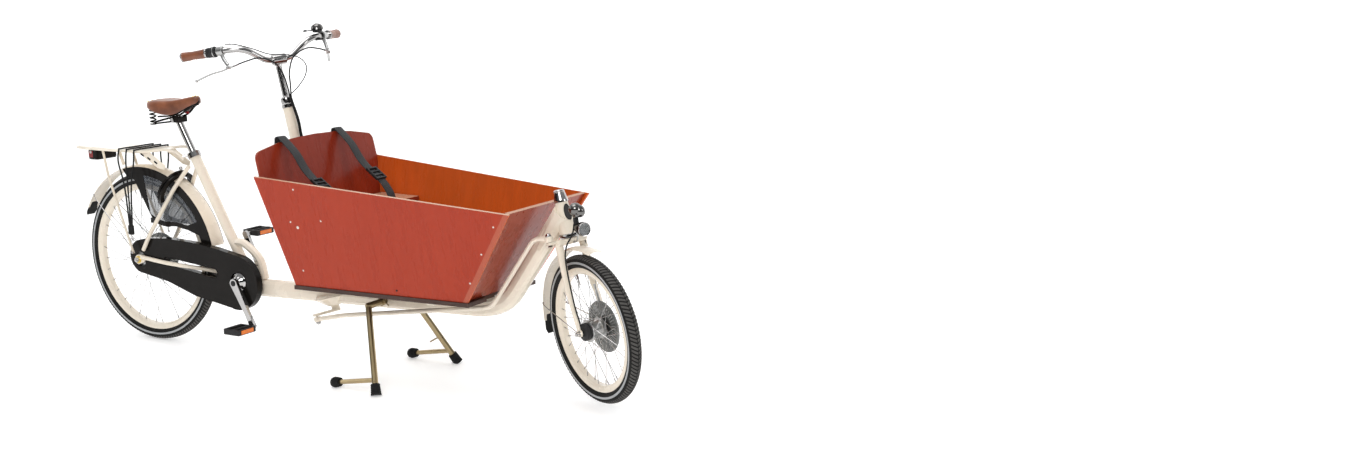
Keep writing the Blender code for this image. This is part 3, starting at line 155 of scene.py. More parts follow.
# ---- materials ----------------------------------------------------------------------------
class Paint:
    """A Principled material with its coordinate, noise and bump nodes at hand."""

    def __init__(self, name, colour, roughness, metallic=0.0, **sockets):
        self.material = bpy.data.materials.new(name)
        self.material.use_nodes = True
        self.tree = self.material.node_tree
        self.shader = self.tree.nodes["Principled BSDF"]
        self.colour = colour
        self.set("Base Color", (*colour, 1))
        self.set("Roughness", roughness)
        self.set("Metallic", metallic)
        for socket, value in sockets.items():
            self.set(socket.replace("_", " "), value)
        self.place = self.tree.nodes.new("ShaderNodeTexCoord").outputs["Object"]

    def set(self, socket, value):
        self.shader.inputs[socket].default_value = value

    def join(self, output, target, socket):
        self.tree.links.new(output, target.inputs[socket])

    def node(self, kind, inputs=None, **settings):
        node = self.tree.nodes.new("ShaderNode" + kind)
        for key, value in settings.items():
            setattr(node, key, value)
        for key, value in (inputs or {}).items():
            if isinstance(value, bpy.types.NodeSocket):
                self.tree.links.new(value, node.inputs[key])
            else:
                node.inputs[key].default_value = value
        return node

    def stretched(self, scale, turn=(0, 0, 0)):
        node = self.node("Mapping", {"Vector": self.place, "Scale": scale, "Rotation": turn})
        return node.outputs["Vector"]

    def noise(self, scale, vector=None, detail=4.0, roughness=0.55):
        node = self.node("TexNoise", {"Vector": vector or self.place, "Scale": scale,
                                      "Detail": detail, "Roughness": roughness})
        return node.outputs["Fac"]

    def ramp(self, factor, stops):
        node = self.node("ValToRGB", {"Fac": factor})
        ramp = node.color_ramp
        while len(ramp.elements) < len(stops):
            ramp.elements.new(0.5)
        for element, (place, colour) in zip(ramp.elements, stops):
            element.position = place
            element.color = (*colour, 1)
        return node.outputs["Color"]

    def mix(self, factor, a, b, blend="MIX"):
        node = self.node("Mix", data_type="RGBA", blend_type=blend)
        for index, value in ((0, factor), (6, a), (7, b)):
            if isinstance(value, bpy.types.NodeSocket):
                self.tree.links.new(value, node.inputs[index])
            else:
                node.inputs[index].default_value = value if index == 0 else (*value, 1)
        return node.outputs[2]

    def math(self, operation, a, b=0.0, c=0.0):
        node = self.node("Math", operation=operation)
        for index, value in enumerate((a, b, c)):
            if isinstance(value, bpy.types.NodeSocket):
                self.tree.links.new(value, node.inputs[index])
            else:
                node.inputs[index].default_value = value
        return node.outputs[0]

    def tint(self, output):
        self.join(output, self.shader, "Base Color")
        return self

    def rough(self, factor, low, high):
        node = self.node("MapRange", {"Value": factor, "To Min": low, "To Max": high})
        self.join(node.outputs[0], self.shader, "Roughness")
        return self

    def bump(self, height, strength, distance):
        inputs = {"Height": height, "Strength": strength, "Distance": distance}
        node = self.node("Bump", inputs)
        if self.shader.inputs["Normal"].is_linked:
            self.join(self.shader.inputs["Normal"].links[0].from_socket, node, "Normal")
        self.join(node.outputs[0], self.shader, "Normal")
        return self

    def mottled(self, scale, amount, rough=None, detail=4.0):
        """Soft patches of lighter and darker colour, and of roughness."""
        patches = self.noise(scale, detail=detail)
        low = [c * (1 - amount) for c in self.colour]
        high = [min(1, c * (1 + amount)) for c in self.colour]
        self.tint(self.ramp(patches, [(0.3, low), (0.7, high)]))
        if rough:
            self.rough(self.noise(scale * 1.7, detail=detail), *rough)
        return self


def cream_paint():
    """Smooth enamel with a soft clear coat."""
    paint = Paint("cream_enamel", (0.86, 0.77, 0.64), 0.26, Coat_Weight=0.35, Coat_Roughness=0.06)
    paint.mottled(7.0, 0.035, (0.2, 0.34))
    return paint.bump(paint.noise(420.0, detail=2.0), 0.06, 0.0006)


def grain(paint, stops, scale=1.0):
    """Long vertical grain with darker pores, used by every stained board."""
    fibres = paint.noise(34.0 * scale, paint.stretched((1.0, 1.0, 0.055)), 6.0, 0.62)
    flame = paint.noise(5.0 * scale, paint.stretched((1.0, 1.0, 0.22)), 3.0)
    mixed = paint.math("ADD", paint.math("MULTIPLY", fibres, 0.62), paint.math("MULTIPLY", flame, 0.38))
    pores = paint.noise(190.0 * scale, paint.stretched((1.0, 1.0, 0.03)), 2.0)
    paint.bump(pores, 0.1, 0.0005)
    paint.bump(fibres, 0.06, 0.0008)
    paint.rough(fibres, 0.2, 0.36)
    return paint.ramp(mixed, stops)


FRONT_EDGE = ((1.634, 0.3533), (1.838, 0.667))  # the side panels' front edge, x and z


def stained_ply(name, low, high, edge, strip=False, inner=None):
    """Stained board with paler raw layers on its level edges; strip paints a paler band along the front
    edge as a painted highlight, where the rounded edge catches the light, and inner colours the face
    towards the load."""
    paint = Paint(name, low, 0.28, Coat_Weight=0.1, Coat_Roughness=0.07, Specular_IOR_Level=0.22)
    middle = [(a + b) / 2 for a, b in zip(low, high)]
    face = grain(paint, [(0.25, low), (0.52, middle), (0.8, high)])
    layers = paint.noise(260.0, paint.stretched((1, 1, 1)), 2.0)
    raw = paint.ramp(layers, [(0.35, [c * 0.82 for c in edge]), (0.65, edge)])
    normal = paint.node("SeparateXYZ", {"Vector": paint.node("TexCoord").outputs["Normal"]})
    spot = paint.node("SeparateXYZ", {"Vector": paint.place})
    up = paint.math("GREATER_THAN", paint.math("ABSOLUTE", normal.outputs["Z"]), 0.8)
    if strip:
        # Painted highlight: a paler band within 2 cm of the front edge, where the rounded edge catches the
        # light.
        (x0, z0), (x1, z1) = FRONT_EDGE
        slope = (x1 - x0) / (z1 - z0)
        line = paint.math("MULTIPLY_ADD", spot.outputs["Z"], slope, x0 + REAR_X - slope * z0)
        front_edge_highlight = paint.math("GREATER_THAN", paint.math("SUBTRACT", spot.outputs["X"], line), -0.02)
        face = paint.mix(front_edge_highlight, face, paint.mix(0.22, face, (0.7, 0.34, 0.22)))
    if inner:
        outwards = paint.math("MULTIPLY", normal.outputs["Y"], spot.outputs["Y"])
        faces_in = paint.math("LESS_THAN", outwards, 0.0)
        fibres = paint.noise(30.0, paint.stretched((1.0, 1.0, 0.06)), 6.0, 0.6)
        warm = paint.ramp(fibres, [(0.25, [c * 0.82 for c in inner]), (0.75, inner)])
        face = paint.mix(faces_in, face, warm)
    return paint.tint(paint.mix(up, face, raw))


def dark_floor():
    """Brown film-faced board with a fine anti-slip mesh."""
    paint = Paint("film_faced_floor", (0.055, 0.024, 0.016), 0.5)
    paint.mottled(16.0, 0.25, (0.42, 0.6))
    weave = paint.node("TexVoronoi", {"Vector": paint.place, "Scale": 520.0}).outputs["Distance"]
    return paint.bump(weave, 0.25, 0.0006)


def rubber(name="tyre_rubber", colour=(0.022, 0.021, 0.02), roughness=(0.62, 0.82)):
    """Matt black with a fine grain."""
    paint = Paint(name, colour, roughness[0], Specular_IOR_Level=0.16)
    paint.mottled(22.0, 0.22, roughness)
    return paint.bump(paint.noise(650.0, detail=2.0), 0.16, 0.0006)


def metal(name, colour, rough, metallic=1.0, scratch=0.05, streak=(1, 1, 1)):
    """Polished or brushed metal, its fine scratches stretched along the streak."""
    paint = Paint(name, colour, sum(rough) / 2, metallic)
    paint.mottled(12.0, 0.05, rough)
    return paint.bump(paint.noise(300.0, paint.stretched(streak), 3.0), scratch, 0.0004)


def gloss_plastic(name="black_lacquer", colour=(0.01, 0.0085, 0.0075)):
    """Black lacquer, almost without texture."""
    paint = Paint(name, colour, 0.1, Coat_Weight=0.08, Coat_Roughness=0.04, Specular_IOR_Level=0.07)
    paint.mottled(9.0, 0.2, (0.07, 0.15))
    return paint.bump(paint.noise(28.0, detail=2.0), 0.03, 0.002)


def plastic(name="black_plastic", colour=(0.022, 0.022, 0.023)):
    """Moulded black plastic with a fine grain."""
    paint = Paint(name, colour, 0.48, Specular_IOR_Level=0.22)
    paint.mottled(30.0, 0.2, (0.4, 0.56))
    return paint.bump(paint.noise(900.0, detail=2.0), 0.14, 0.0005)


def leather():
    """Tan leather, darker where it is handled, with small pores."""
    paint = Paint("tan_leather", (0.33, 0.115, 0.045), 0.42, Coat_Weight=0.15, Coat_Roughness=0.3,
                  Sheen_Weight=0.12)
    tone = paint.noise(14.0, detail=5.0)
    paint.tint(paint.ramp(tone, [(0.32, (0.13, 0.036, 0.013)), (0.55, (0.25, 0.078, 0.03)),
                                 (0.78, (0.36, 0.13, 0.055))]))
    paint.rough(paint.noise(30.0), 0.32, 0.52)
    cells = paint.node("TexVoronoi", {"Vector": paint.place, "Scale": 620.0}).outputs["Distance"]
    return paint.bump(cells, 0.3, 0.0006)


def webbing():
    """Grey woven strap."""
    paint = Paint("grey_webbing", (0.055, 0.062, 0.068), 0.85, Sheen_Weight=0.12, Sheen_Roughness=0.5)
    rows = paint.node("TexWave", {"Vector": paint.place, "Scale": 190.0, "Distortion": 1.0,
                                  "Detail": 1.0}, bands_direction="Z").outputs["Fac"]
    cross = paint.node("TexWave", {"Vector": paint.place, "Scale": 150.0, "Distortion": 0.5},
                       bands_direction="Y").outputs["Fac"]
    weave = paint.math("MULTIPLY", rows, cross)
    paint.tint(paint.ramp(weave, [(0.1, (0.012, 0.0135, 0.015)), (0.8, (0.04, 0.044, 0.047))]))
    return paint.bump(weave, 0.6, 0.0008)


def clear(name, colour, alpha, roughness=0.08):
    """Tinted clear plastic or glass."""
    paint = Paint(name, colour, roughness, Alpha=alpha, Specular_IOR_Level=0.6)
    paint.mottled(40.0, 0.1, (roughness * 0.7, roughness * 1.5))
    return paint.bump(paint.noise(120.0), 0.04, 0.0005)


LOOKS = {
    "cream": cream_paint(),
    "ply": stained_ply("stained_ply", (0.25, 0.034, 0.014), (0.34, 0.052, 0.022), (0.6, 0.34, 0.22)),
    "ply_side": stained_ply("stained_ply_side", (0.35, 0.027, 0.006), (0.43, 0.04, 0.01),
                            (0.66, 0.4, 0.27), strip=True, inner=(0.66, 0.11, 0.015)),
    "ply_back": stained_ply("stained_ply_back", (0.24, 0.022, 0.007), (0.31, 0.034, 0.01),
                            (0.56, 0.3, 0.19)),
    "floor": dark_floor(),
    "tyre": rubber("tyre_rubber", (0.014, 0.0135, 0.013)),
    "tread": rubber("tread_rubber", (0.085, 0.081, 0.077), (0.7, 0.9)),
    "stripe": metal("reflective_stripe", (0.4, 0.41, 0.42), (0.35, 0.5), 0.3),
    "rubber": rubber("black_rubber", (0.016, 0.016, 0.016), (0.55, 0.75)),
    "gloss": gloss_plastic(),
    "plastic": plastic(),
    "chrome": metal("chrome_plate", (0.46, 0.45, 0.445), (0.06, 0.14), scratch=0.02),
    "alloy": metal("brushed_alloy", (0.46, 0.46, 0.455), (0.24, 0.38), scratch=0.1, streak=(1, 1, 8)),
    "cast": metal("cast_alloy", (0.2, 0.205, 0.2), (0.34, 0.48), 0.9, 0.12),
    "zinc": metal("yellow_zinc", (0.38, 0.295, 0.165), (0.22, 0.36), scratch=0.1),
    "bright_screw": metal("bright_screw", (0.82, 0.78, 0.72), (0.4, 0.55), 0.3),
    "brass": metal("yellow_nut", (0.8, 0.58, 0.12), (0.3, 0.45), 0.7),
    "leather": leather(),
    "thread": Paint("waxed_thread", (0.5, 0.33, 0.18), 0.7).mottled(300.0, 0.2, (0.6, 0.8)),
    "webbing": webbing(),
    "red": clear("red_lens", (0.24, 0.006, 0.008), 0.96, 0.1),
    "orange": clear("orange_reflector", (0.86, 0.2, 0.015), 0.97, 0.16),
    "smoke": clear("smoked_window", (0.1, 0.11, 0.125), 0.42, 0.12),
    "glass": clear("lamp_glass", (0.46, 0.48, 0.49), 0.38, 0.04),
    "badge": gloss_plastic("dark_badge", (0.012, 0.01, 0.01)),
    "dark_chrome": metal("dark_chrome", (0.17, 0.165, 0.16), (0.1, 0.18), scratch=0.02),
}


# ---- geometry -----------------------------------------------------------------------------
class Shape:
    """One piece under construction, in the row's frame; looks become its material slots."""

    def __init__(self, name, *looks):
        self.name = name
        self.looks = looks
        self.form = bmesh.new()

    def faces(self, points, faces, look=0):
        corners = [self.form.verts.new(p) for p in points]
        for face in faces:
            made = self.form.faces.new([corners[i] for i in face])
            made.material_index = look
            made.smooth = True

    def rings(self, rings, look=0, closed=False, caps=True):
        """Skins a list of equal rings of points."""
        count = len(rings[0])
        points = [p for ring in rings for p in ring]
        last = len(rings) if closed else len(rings) - 1
        faces = []
        for i in range(last):
            a, b = i * count, (i + 1) % len(rings) * count
            for j in range(count):
                k = (j + 1) % count
                faces.append((a + j, a + k, b + k, b + j))
        if caps and not closed:
            faces.append(tuple(range(count - 1, -1, -1)))
            faces.append(tuple(range((len(rings) - 1) * count, len(rings) * count)))
        self.faces(points, faces, look)
        return self

    def lathe(self, profile, place, steps=48, look=0, ring=False):
        """Turns a profile of (radius, height) about the place's Z."""
        tiny = 1e-5
        rings = []
        for i in range(steps):
            c, s = polar(1.0, 360 * i / steps)
            rings.append([place @ Vector((max(r, tiny) * c, max(r, tiny) * s, h)) for r, h in profile])
        count = len(profile)
        points = [p for loop in rings for p in loop]
        faces = []
        for i in range(steps):
            a, b = i * count, (i + 1) % steps * count
            for j in range(count if ring else count - 1):
                k = (j + 1) % count
                faces.append((a + j, b + j, b + k, a + k))
        if not ring:
            faces.append(tuple(i * count for i in range(steps - 1, -1, -1)))
            faces.append(tuple(i * count + count - 1 for i in range(steps)))
        self.faces(points, faces, look)
        return self

    def tube(self, path, radius, sides=12, look=0, closed=False, flat=1.0, up=None, taper=None):
        """A round or flattened bar along the path; taper(t) scales it from 0 to 1 along the way."""
        path = [Vector(p) for p in path]
        count = len(path)
        side = None
        rings = []
        for i, point in enumerate(path):
            if closed:
                run = path[(i + 1) % count] - path[i - 1]
            else:
                run = path[min(i + 1, count - 1)] - path[max(i - 1, 0)]
            run.normalize()
            if up is not None:
                side = Vector(up).cross(run)
            elif side is None:
                side = run.orthogonal()
            side = (side - run * side.dot(run)).normalized()
            other = run.cross(side)
            size = radius * (taper(i / (count - 1)) if taper else 1.0)
            ring = []
            for k in range(sides):
                c, s = polar(size, 360 * k / sides)
                ring.append(point + side * c + other * s * flat)
            rings.append(ring)
        return self.rings(rings, look, closed)

    def hose(self, path, count, place, radius, sides=12, look=0, **how):
        """A tube along the smooth curve through the path's points."""
        return self.tube(placed(flowing(path, count), place), radius, sides, look, **how)

    def slab(self, size, place, look=0, bevel=0.0):
        """A block with rounded edges."""
        part = bmesh.new()
        bmesh.ops.create_cube(part, size=1.0)
        bmesh.ops.scale(part, vec=size, verts=part.verts)
        if bevel:
            bmesh.ops.bevel(part, geom=part.edges, offset=bevel, segments=3, profile=0.6,
                            affect="EDGES")
        return self.take(part, place, look)

    def globe(self, radius, place, look=0, squash=1.0, sides=16):
        part = bmesh.new()
        bmesh.ops.create_uvsphere(part, u_segments=sides, v_segments=sides // 2, radius=radius)
        bmesh.ops.scale(part, vec=(1, 1, squash), verts=part.verts)
        return self.take(part, place, look)

    def take(self, part, place, look=0):
        """Adds another bmesh, placed, and frees it."""
        part.verts.index_update()
        points = [place @ v.co for v in part.verts]
        faces = [[v.index for v in face.verts] for face in part.faces]
        part.free()
        self.faces(points, faces, look)
        return self

    def sheet(self, outline, thickness, place, holes=(), look=0, bevel=0.0, segments=3):
        """A flat board of the outline's shape, with holes and rounded edges."""
        curve = bpy.data.curves.new("sheet", "CURVE")
        curve.dimensions = "2D"
        curve.fill_mode = "BOTH"
        curve.extrude = thickness / 2
        for loop in (outline, *holes):
            spline = curve.splines.new("POLY")
            spline.points.add(len(loop) - 1)
            spline.use_cyclic_u = True
            for point, (u, v) in zip(spline.points, loop):
                point.co = (u, v, 0, 1)
        board = bpy.data.objects.new("sheet", curve)
        bpy.context.scene.collection.objects.link(board)
        weld = board.modifiers.new("weld", "WELD")
        weld.merge_threshold = 1e-5
        if bevel:
            modifier = board.modifiers.new("round", "BEVEL")
            modifier.width = bevel
            modifier.segments = segments
            modifier.limit_method = "ANGLE"
            modifier.angle_limit = math.radians(50)
        bpy.context.view_layer.update()
        mesh = bpy.data.meshes.new_from_object(board.evaluated_get(
            bpy.context.evaluated_depsgraph_get()))
        part = bmesh.new()
        part.from_mesh(mesh)
        bpy.data.objects.remove(board)
        return self.take(part, place, look)

    def done(self, body, *nodes, slot=None, sharp=40, subdivide=0, blend=None):
        """Makes the piece, rides it on its body and hides the CAD nodes it stands for."""
        bmesh.ops.remove_doubles(self.form, verts=self.form.verts, dist=2e-6)
        bmesh.ops.recalc_face_normals(self.form, faces=self.form.faces)
        mesh = bpy.data.meshes.new(self.name)
        self.form.to_mesh(mesh)
        self.form.free()
        mesh.set_sharp_from_angle(angle=math.radians(sharp))
        piece = bpy.data.objects.new(self.name, mesh)
        bpy.context.scene.collection.objects.link(piece)
        for look in self.looks:
            mesh.materials.append(LOOKS[look].material)
        if subdivide:
            modifier = piece.modifiers.new("smooth", "SUBSURF")
            modifier.levels = subdivide
            modifier.render_levels = subdivide
        else:
            modifier = piece.modifiers.new("even_shading", "WEIGHTED_NORMAL")
            modifier.keep_sharp = True
            modifier.weight = 100
        if blend:
            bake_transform(piece)
        else:
            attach(piece, body)
        if nodes:
            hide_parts(*nodes)
        return piece


def dress(node, look, bevel=0.0):
    """Gives a CAD node its finished material and softened edges."""
    piece = frame["nodes"][node]
    piece.data.materials.clear()
    piece.data.materials.append(LOOKS[look].material)
    if bevel:
        modifier = piece.modifiers.new("round", "BEVEL")
        modifier.width = bevel
        modifier.segments = 2
        modifier.limit_method = "ANGLE"
        modifier.angle_limit = math.radians(35)


# ---- wheels -------------------------------------------------------------------------------
def chevrons(shape, radius, place, count):
    """Raised herringbone blocks round the crown of the tyre."""
    centre = radius - HALF_TYRE
    step = 2 * math.pi / count
    low, high = HALF_TYRE - 0.0012, HALF_TYRE
    for k in range(count):
        for side in (-1, 1):
            rows = []
            for i in range(5):
                lean = side * math.radians(4 + 13 * i)
                turn = k * step + step * 0.9 * i / 4
                width = step * 0.3
                row = []
                for depth, shift in ((low, -width), (high, -width * 0.8), (high, width * 0.8),
                                     (low, width)):
                    reach = centre + depth * math.cos(lean)
                    angle = turn + shift
                    row.append(place @ Vector((reach * math.cos(angle), depth * math.sin(lean),
                                               reach * math.sin(angle))))
                rows.append(row)
            shape.rings(rows, 2)


def tyre(where, radius, place, count):
    """Casing, tread blocks and reflective stripes; gives the radius of the rim's seat."""
    centre = radius - HALF_TYRE
    deep = HALF_TYRE - 0.001
    shape = Shape(where + "_tyre_tread", "tyre", "stripe", "tread")
    profile = [(centre + deep * math.sin(math.radians(a)), deep * math.cos(math.radians(a)))
               for a in range(-53, 234, 13)]
    shape.lathe(profile + [(centre - deep * 0.8, 0)], place @ TO_Y, 120, ring=True)
    chevrons(shape, radius, place, count)
    for side in (-1, 1):
        strip = []
        for a in (-9, 0, 9):
            reach = deep + 0.0003
            strip.append((centre + reach * math.sin(math.radians(a)),
                          side * reach * math.cos(math.radians(a))))
        strip += [(r, h * 0.97) for r, h in reversed(strip)]
        shape.lathe(strip, place @ TO_Y, 120, 1, ring=True)
    shape.done(where + "_wheel", where + "_tyre", slot="tyre_rubber", sharp=50)
    return centre - HALF_TYRE * 0.8


def rim(where, seat, place):
    """Box-section hoop with its valve; gives the radius that the spokes reach."""
    top, low, half = seat - 0.0004, seat - 0.0213, 0.0155
    shape = Shape(where + "_rim_hoop", "cream", "chrome", "rubber")
    profile = [(top, half - 0.001), (top + 0.002, half), (top - 0.001, half + 0.0006),
               (top - 0.01, half), (low + 0.007, half - 0.0012), (low + 0.001, half - 0.006),
               (low, 0)]
    profile += [(r, -h) for r, h in reversed(profile[:-1])]
    shape.lathe(profile, place @ TO_Y, 120, ring=True)
    valve = Vector((math.cos(math.radians(100)), 0, math.sin(math.radians(100))))
    shape.tube(placed([valve * (low + 0.002), valve * (low - 0.014)], place), 0.0035, look=2)
    shape.tube(placed([valve * (low - 0.014), valve * (low - 0.036)], place), 0.0026, look=1)
    shape.done(where + "_wheel", where + "_rim", slot="cream_paint")
    return low


def spokes(shape, rim_r, flange_r, flange_y, place):
    """Laced spokes, eighteen to a flange, each with its nipple at the rim."""
    step, phase, look = 20, -3.2, 1
    for side in (-1, 1):
        for k in range(18):
            lead = 1 if k % 2 else -1
            angle = k * step + (step / 2 if side > 0 else 0) + phase
            u, v = polar(flange_r - 0.002, angle + lead * 52)
            p, q = polar(rim_r, angle)
            inner = Vector((u, side * (flange_y + lead * 0.0024), v))
            outer = Vector((p, side * 0.004, q))
            run = (outer - inner).normalized()
            shape.tube(placed([inner, outer], place), 0.00095, 6, look)
            shape.tube(placed([outer - run * 0.013, outer + run * 0.001], place), 0.0019, 6, look)


REAR_HUB = [(0.006, 0.0395), (0.024, 0.0392), (0.026, 0.038), (0.03, 0.032), (0.044, 0.031),
            (0.046, 0.03), (0.046, 0.027), (0.044, 0.026), (0.035, 0.0245), (0.032, 0.018),
            (0.031, 0.0), (0.032, -0.018), (0.035, -0.0245), (0.044, -0.026), (0.046, -0.027),
            (0.046, -0.03), (0.044, -0.031), (0.026, -0.033), (0.017, -0.036), (0.017, -0.0545),
            (0.006, -0.055)]
FRONT_HUB = [(0.0045, 0.03), (0.019, 0.0297), (0.022, 0.0285), (0.0355, 0.0262), (0.037, 0.0255),
             (0.037, 0.0225), (0.035, 0.0215), (0.026, 0.02), (0.0235, 0.014), (0.023, 0.0),
             (0.0235, -0.012), (0.026, -0.018), (0.035, -0.0205), (0.037, -0.0215),
             (0.037, -0.0245), (0.035, -0.0255), (0.029, -0.027)]
DYNAMO = [(0.0045, -0.0265), (0.028, -0.0268), (0.0292, -0.0285), (0.0292, -0.041),
          (0.0275, -0.0435), (0.016, -0.0455), (0.0155, -0.047), (0.0045, -0.0475)]


def hub(where, rim_r, place, profile, axle, flange, dynamo=None):
    """Shell, axle (half length, radius) and the spokes from its flanges (radius, distance out)."""
    half, thick = axle
    shape = Shape(where + "_hub_laced", "alloy", "chrome", *(("plastic",) if dynamo else ()))
    shape.lathe(profile, place @ TO_Y, 40)
    if dynamo:
        shape.lathe(dynamo, place @ TO_Y, 40, 2)
    shape.tube(placed([(0, -half, 0), (0, half, 0)], place), thick, 16, 1)
    spokes(shape, rim_r, *flange, place)
    shape.done(where + "_wheel", where + "_hub", slot="alloy")


def roller_brake(name, body, node, disc, place, arm):
    """A drum with a cooling disc: radial fins stand on both of its faces."""
    fins = 44
    crown = disc[3][0]  # where the disc's flat faces end
    inner, outer = crown - 0.026, crown - 0.002
    heights = [h for r, h in disc if abs(r - crown) < 1e-6]
    shape = Shape(name, "cast", "alloy")
    shape.lathe(disc, place @ TO_Y, 64, ring=True)
    for k in range(fins):
        turn = spin(2 * math.pi * k / fins, "Y")
        for height, out in ((max(heights), 1), (min(heights), -1)):
            middle = Vector(((inner + outer) / 2, height + out * 0.0009, 0))
            shape.slab((outer - inner, 0.0026, 0.0024), place @ turn @ move(middle), 1)
    shape.tube(arm, 0.004, 10, 1, flat=0.7)
    shape.done(body, node, slot="alloy")


def wheels():
    """Tyre, rim, hub and spokes of both wheels."""
    rear = rim("rear", tyre("rear", REAR_RADIUS, REAR_AXLE, 150), REAR_AXLE)
    front = rim("front", tyre("front", FRONT_RADIUS, FRONT_AXLE, 116), FRONT_AXLE)
    hub("rear", rear, REAR_AXLE, REAR_HUB, (0.0672, 0.0055), (0.0435, 0.028))
    hub("front", front, FRONT_AXLE, FRONT_HUB, (0.0488, 0.0044), (0.035, 0.0235), DYNAMO)


def roller_brakes():
    """Both drums, with the reaction arm that ties each to its stay or blade."""
    disc = [(0.009, 0.056), (0.03, 0.056), (0.034, 0.0505), (0.078, 0.0505), (0.0845, 0.048),
            (0.085, 0.0455), (0.0845, 0.043), (0.078, 0.0405), (0.009, 0.0402)]
    arm = [(0.06, 0.053, 0.3205), (0.11, 0.055, 0.315), (0.15, 0.0555, 0.312),
           (0.196, 0.048, 0.309)]
    roller_brake("rear_roller_brake", "frame", "rear_brake", disc, REAR_AXLE,
                 placed(flowing(arm, 12), GROUND))
    disc = [(0.006, 0.0478), (0.026, 0.0478), (0.03, 0.0424), (0.08, 0.0424), (0.0865, 0.0405),
            (0.087, 0.038), (0.0865, 0.0355), (0.08, 0.0342), (0.03, 0.034), (0.026, 0.0312),
            (0.006, 0.0312)]
    arm = [(0.006, 0.039, 0.03), (0.004, 0.0385, 0.098), (0.001, 0.037, 0.143)]
    roller_brake("front_roller_brake", "fork", "front_brake", disc, FRONT_AXLE,
                 placed(flowing(arm, 12), FRONT_AXLE))


# ---- fenders ------------------------------------------------------------------------------
def fender(name, body, node, place, radius, half, start, end, flap, stay_at, stay_y):
    """Arched strip with rolled edges, a rubber flap at its tail and a wire stay on each side."""
    shape = Shape(name, "cream", "rubber", "chrome")
    section = []
    across, steps = 10, 96
    for i in range(across + 1):
        u = -1 + 2 * i / across
        section.append((radius - 0.007 * u * u, half * u))
    section = [(radius - 0.0085, -half * 0.97)] + section + [(radius - 0.0085, half * 0.97)]
    section += [(r - 0.0015, y * 0.965) for r, y in reversed(section[1:-1])]
    rings = []
    for i in range(steps + 1):
        c, s = polar(1.0, start + (end - start) * i / steps)
        rings.append([place @ Vector((r * c, y, r * s)) for r, y in section])
    shape.rings(rings)
    u, v = polar(radius - 0.0025, end - 2)
    hang = place @ move((u, 0, v)) @ spin(math.radians(180 - end), "Y")
    outline = [(-0.021, 0.01), (0.021, 0.01), (0.024, -flap * 0.7), (0.018, -flap),
               (-0.018, -flap), (-0.024, -flap * 0.7)]
    shape.sheet(outline, 0.0028, hang @ spin(math.pi / 2, "Z") @ UPRIGHT, look=1,
                bevel=0.0009)
    for side in (-1, 1):
        p, q = polar(radius - 0.009, stay_at)
        r, t = polar(0.012, stay_at)
        wire = [(r, side * stay_y, t), (r + (p - r) * 0.86, side * (half + 0.01), t + (q - t) * 0.86),
                (p, side * (half - 0.001), q)]
        shape.hose(wire, 12, place, 0.0016, 8, 2)
        shape.globe(0.0036, place @ move((p, side * half, q)), 2, sides=10)
    shape.done(body, node, slot="cream_paint")


def fenders():
    """Rear fender on the frame, front fender on the fork."""
    fender("rear_mudguard", "frame", "rear_fender", REAR_AXLE, radius=0.36, half=0.03,
           start=12, end=151, flap=0.05, stay_at=140, stay_y=0.066)
    fender("front_mudguard", "fork", "front_fender", FRONT_AXLE, radius=0.278, half=0.0275,
           start=66, end=172, flap=0.056, stay_at=158, stay_y=0.058)


# ---- rear equipment -----------------------------------------------------------------------
def coat_guards():
    """Black skirt with a smoked window and moulded ribs, on each side of the wheel."""
    reach, angle = LOCK_PLACE
    bolt_place = polar(reach - math.sqrt(LOCK_RADIUS**2 - GUARD_Y**2), angle, HUB)
    bolt_hole = arc(0.01, 0, 345, 23, bolt_place)
    for side, word in SIDES:
        place = move((REAR_X, side * GUARD_Y, 0)) @ UPRIGHT
        shape = Shape("coat_guard_skirt_" + word, "gloss", "smoke", "plastic")
        outline = arc(0.352, 13, 106, 50, HUB) + [polar(0.326, 104, HUB), polar(0.303, 97, HUB)]
        outline += [(0.048, 0.48), (0.064, 0.466), (0.104, 0.458), (0.17, 0.462), (0.232, 0.452)]
        outline += [polar(0.306, 21, HUB), polar(0.306, 13, HUB)]
        window = arc(0.322, 30, 88, 26, HUB)
        window += [(0.036, 0.5), (0.07, 0.484), (0.11, 0.476), (0.17, 0.478), (0.226, 0.47)]
        shape.sheet(outline, 0.003, place, [window], bevel=0.0006, segments=1)
        shape.sheet(window, 0.0012, place, [bolt_hole], 1)
        for angle in (38, 47, 56, 70, 79):
            low, high = polar(0.232, angle, HUB), polar(0.322, angle, HUB)
            ends = placed([(*low, side * 0.0005), (*high, side * 0.0005)], place)
            shape.tube(ends, 0.0016, 8, 2)
        rail = arc(0.3, 32, 54, 14, HUB)
        shape.tube(placed([(*p, 0) for p in rail], place), 0.0014, 8, 2)
        tip = place @ move((0.052, 0.476, 0))
        shape.slab((0.03, 0.02, 0.0065), tip, 2, 0.002)
        shape.done("frame", "coat_guard_" + word, slot="black_gloss")


def ring_lock():
    """The horseshoe and its bolt are the CAD's; this adds the key cylinder."""
    dress("ring_lock", "gloss", 0.0015)
    dress("lock_bolt", "chrome")
    reach, angle = LOCK_PLACE
    u, v = polar(reach, angle, HUB)
    place = move(at(u, 0, v)) @ spin(-math.radians(angle), "Y")
    key = place @ move((*polar(LOCK_RADIUS, 40), 0.0105))
    shape = Shape("ring_lock_key", "chrome", "plastic")
    shape.lathe([(0, 0.004), (0.0085, 0.004), (0.0095, 0.002), (0.0095, -0.002), (0, -0.002)], key, 24)
    shape.slab((0.0018, 0.008, 0.002), key @ move((0, 0, 0.004)), 1)
    shape.done("frame", sharp=50)


CASE_REAR, CASE_FRONT = (0.012, 0.338), (0.49, 0.281)  # centres of the chain case's round ends


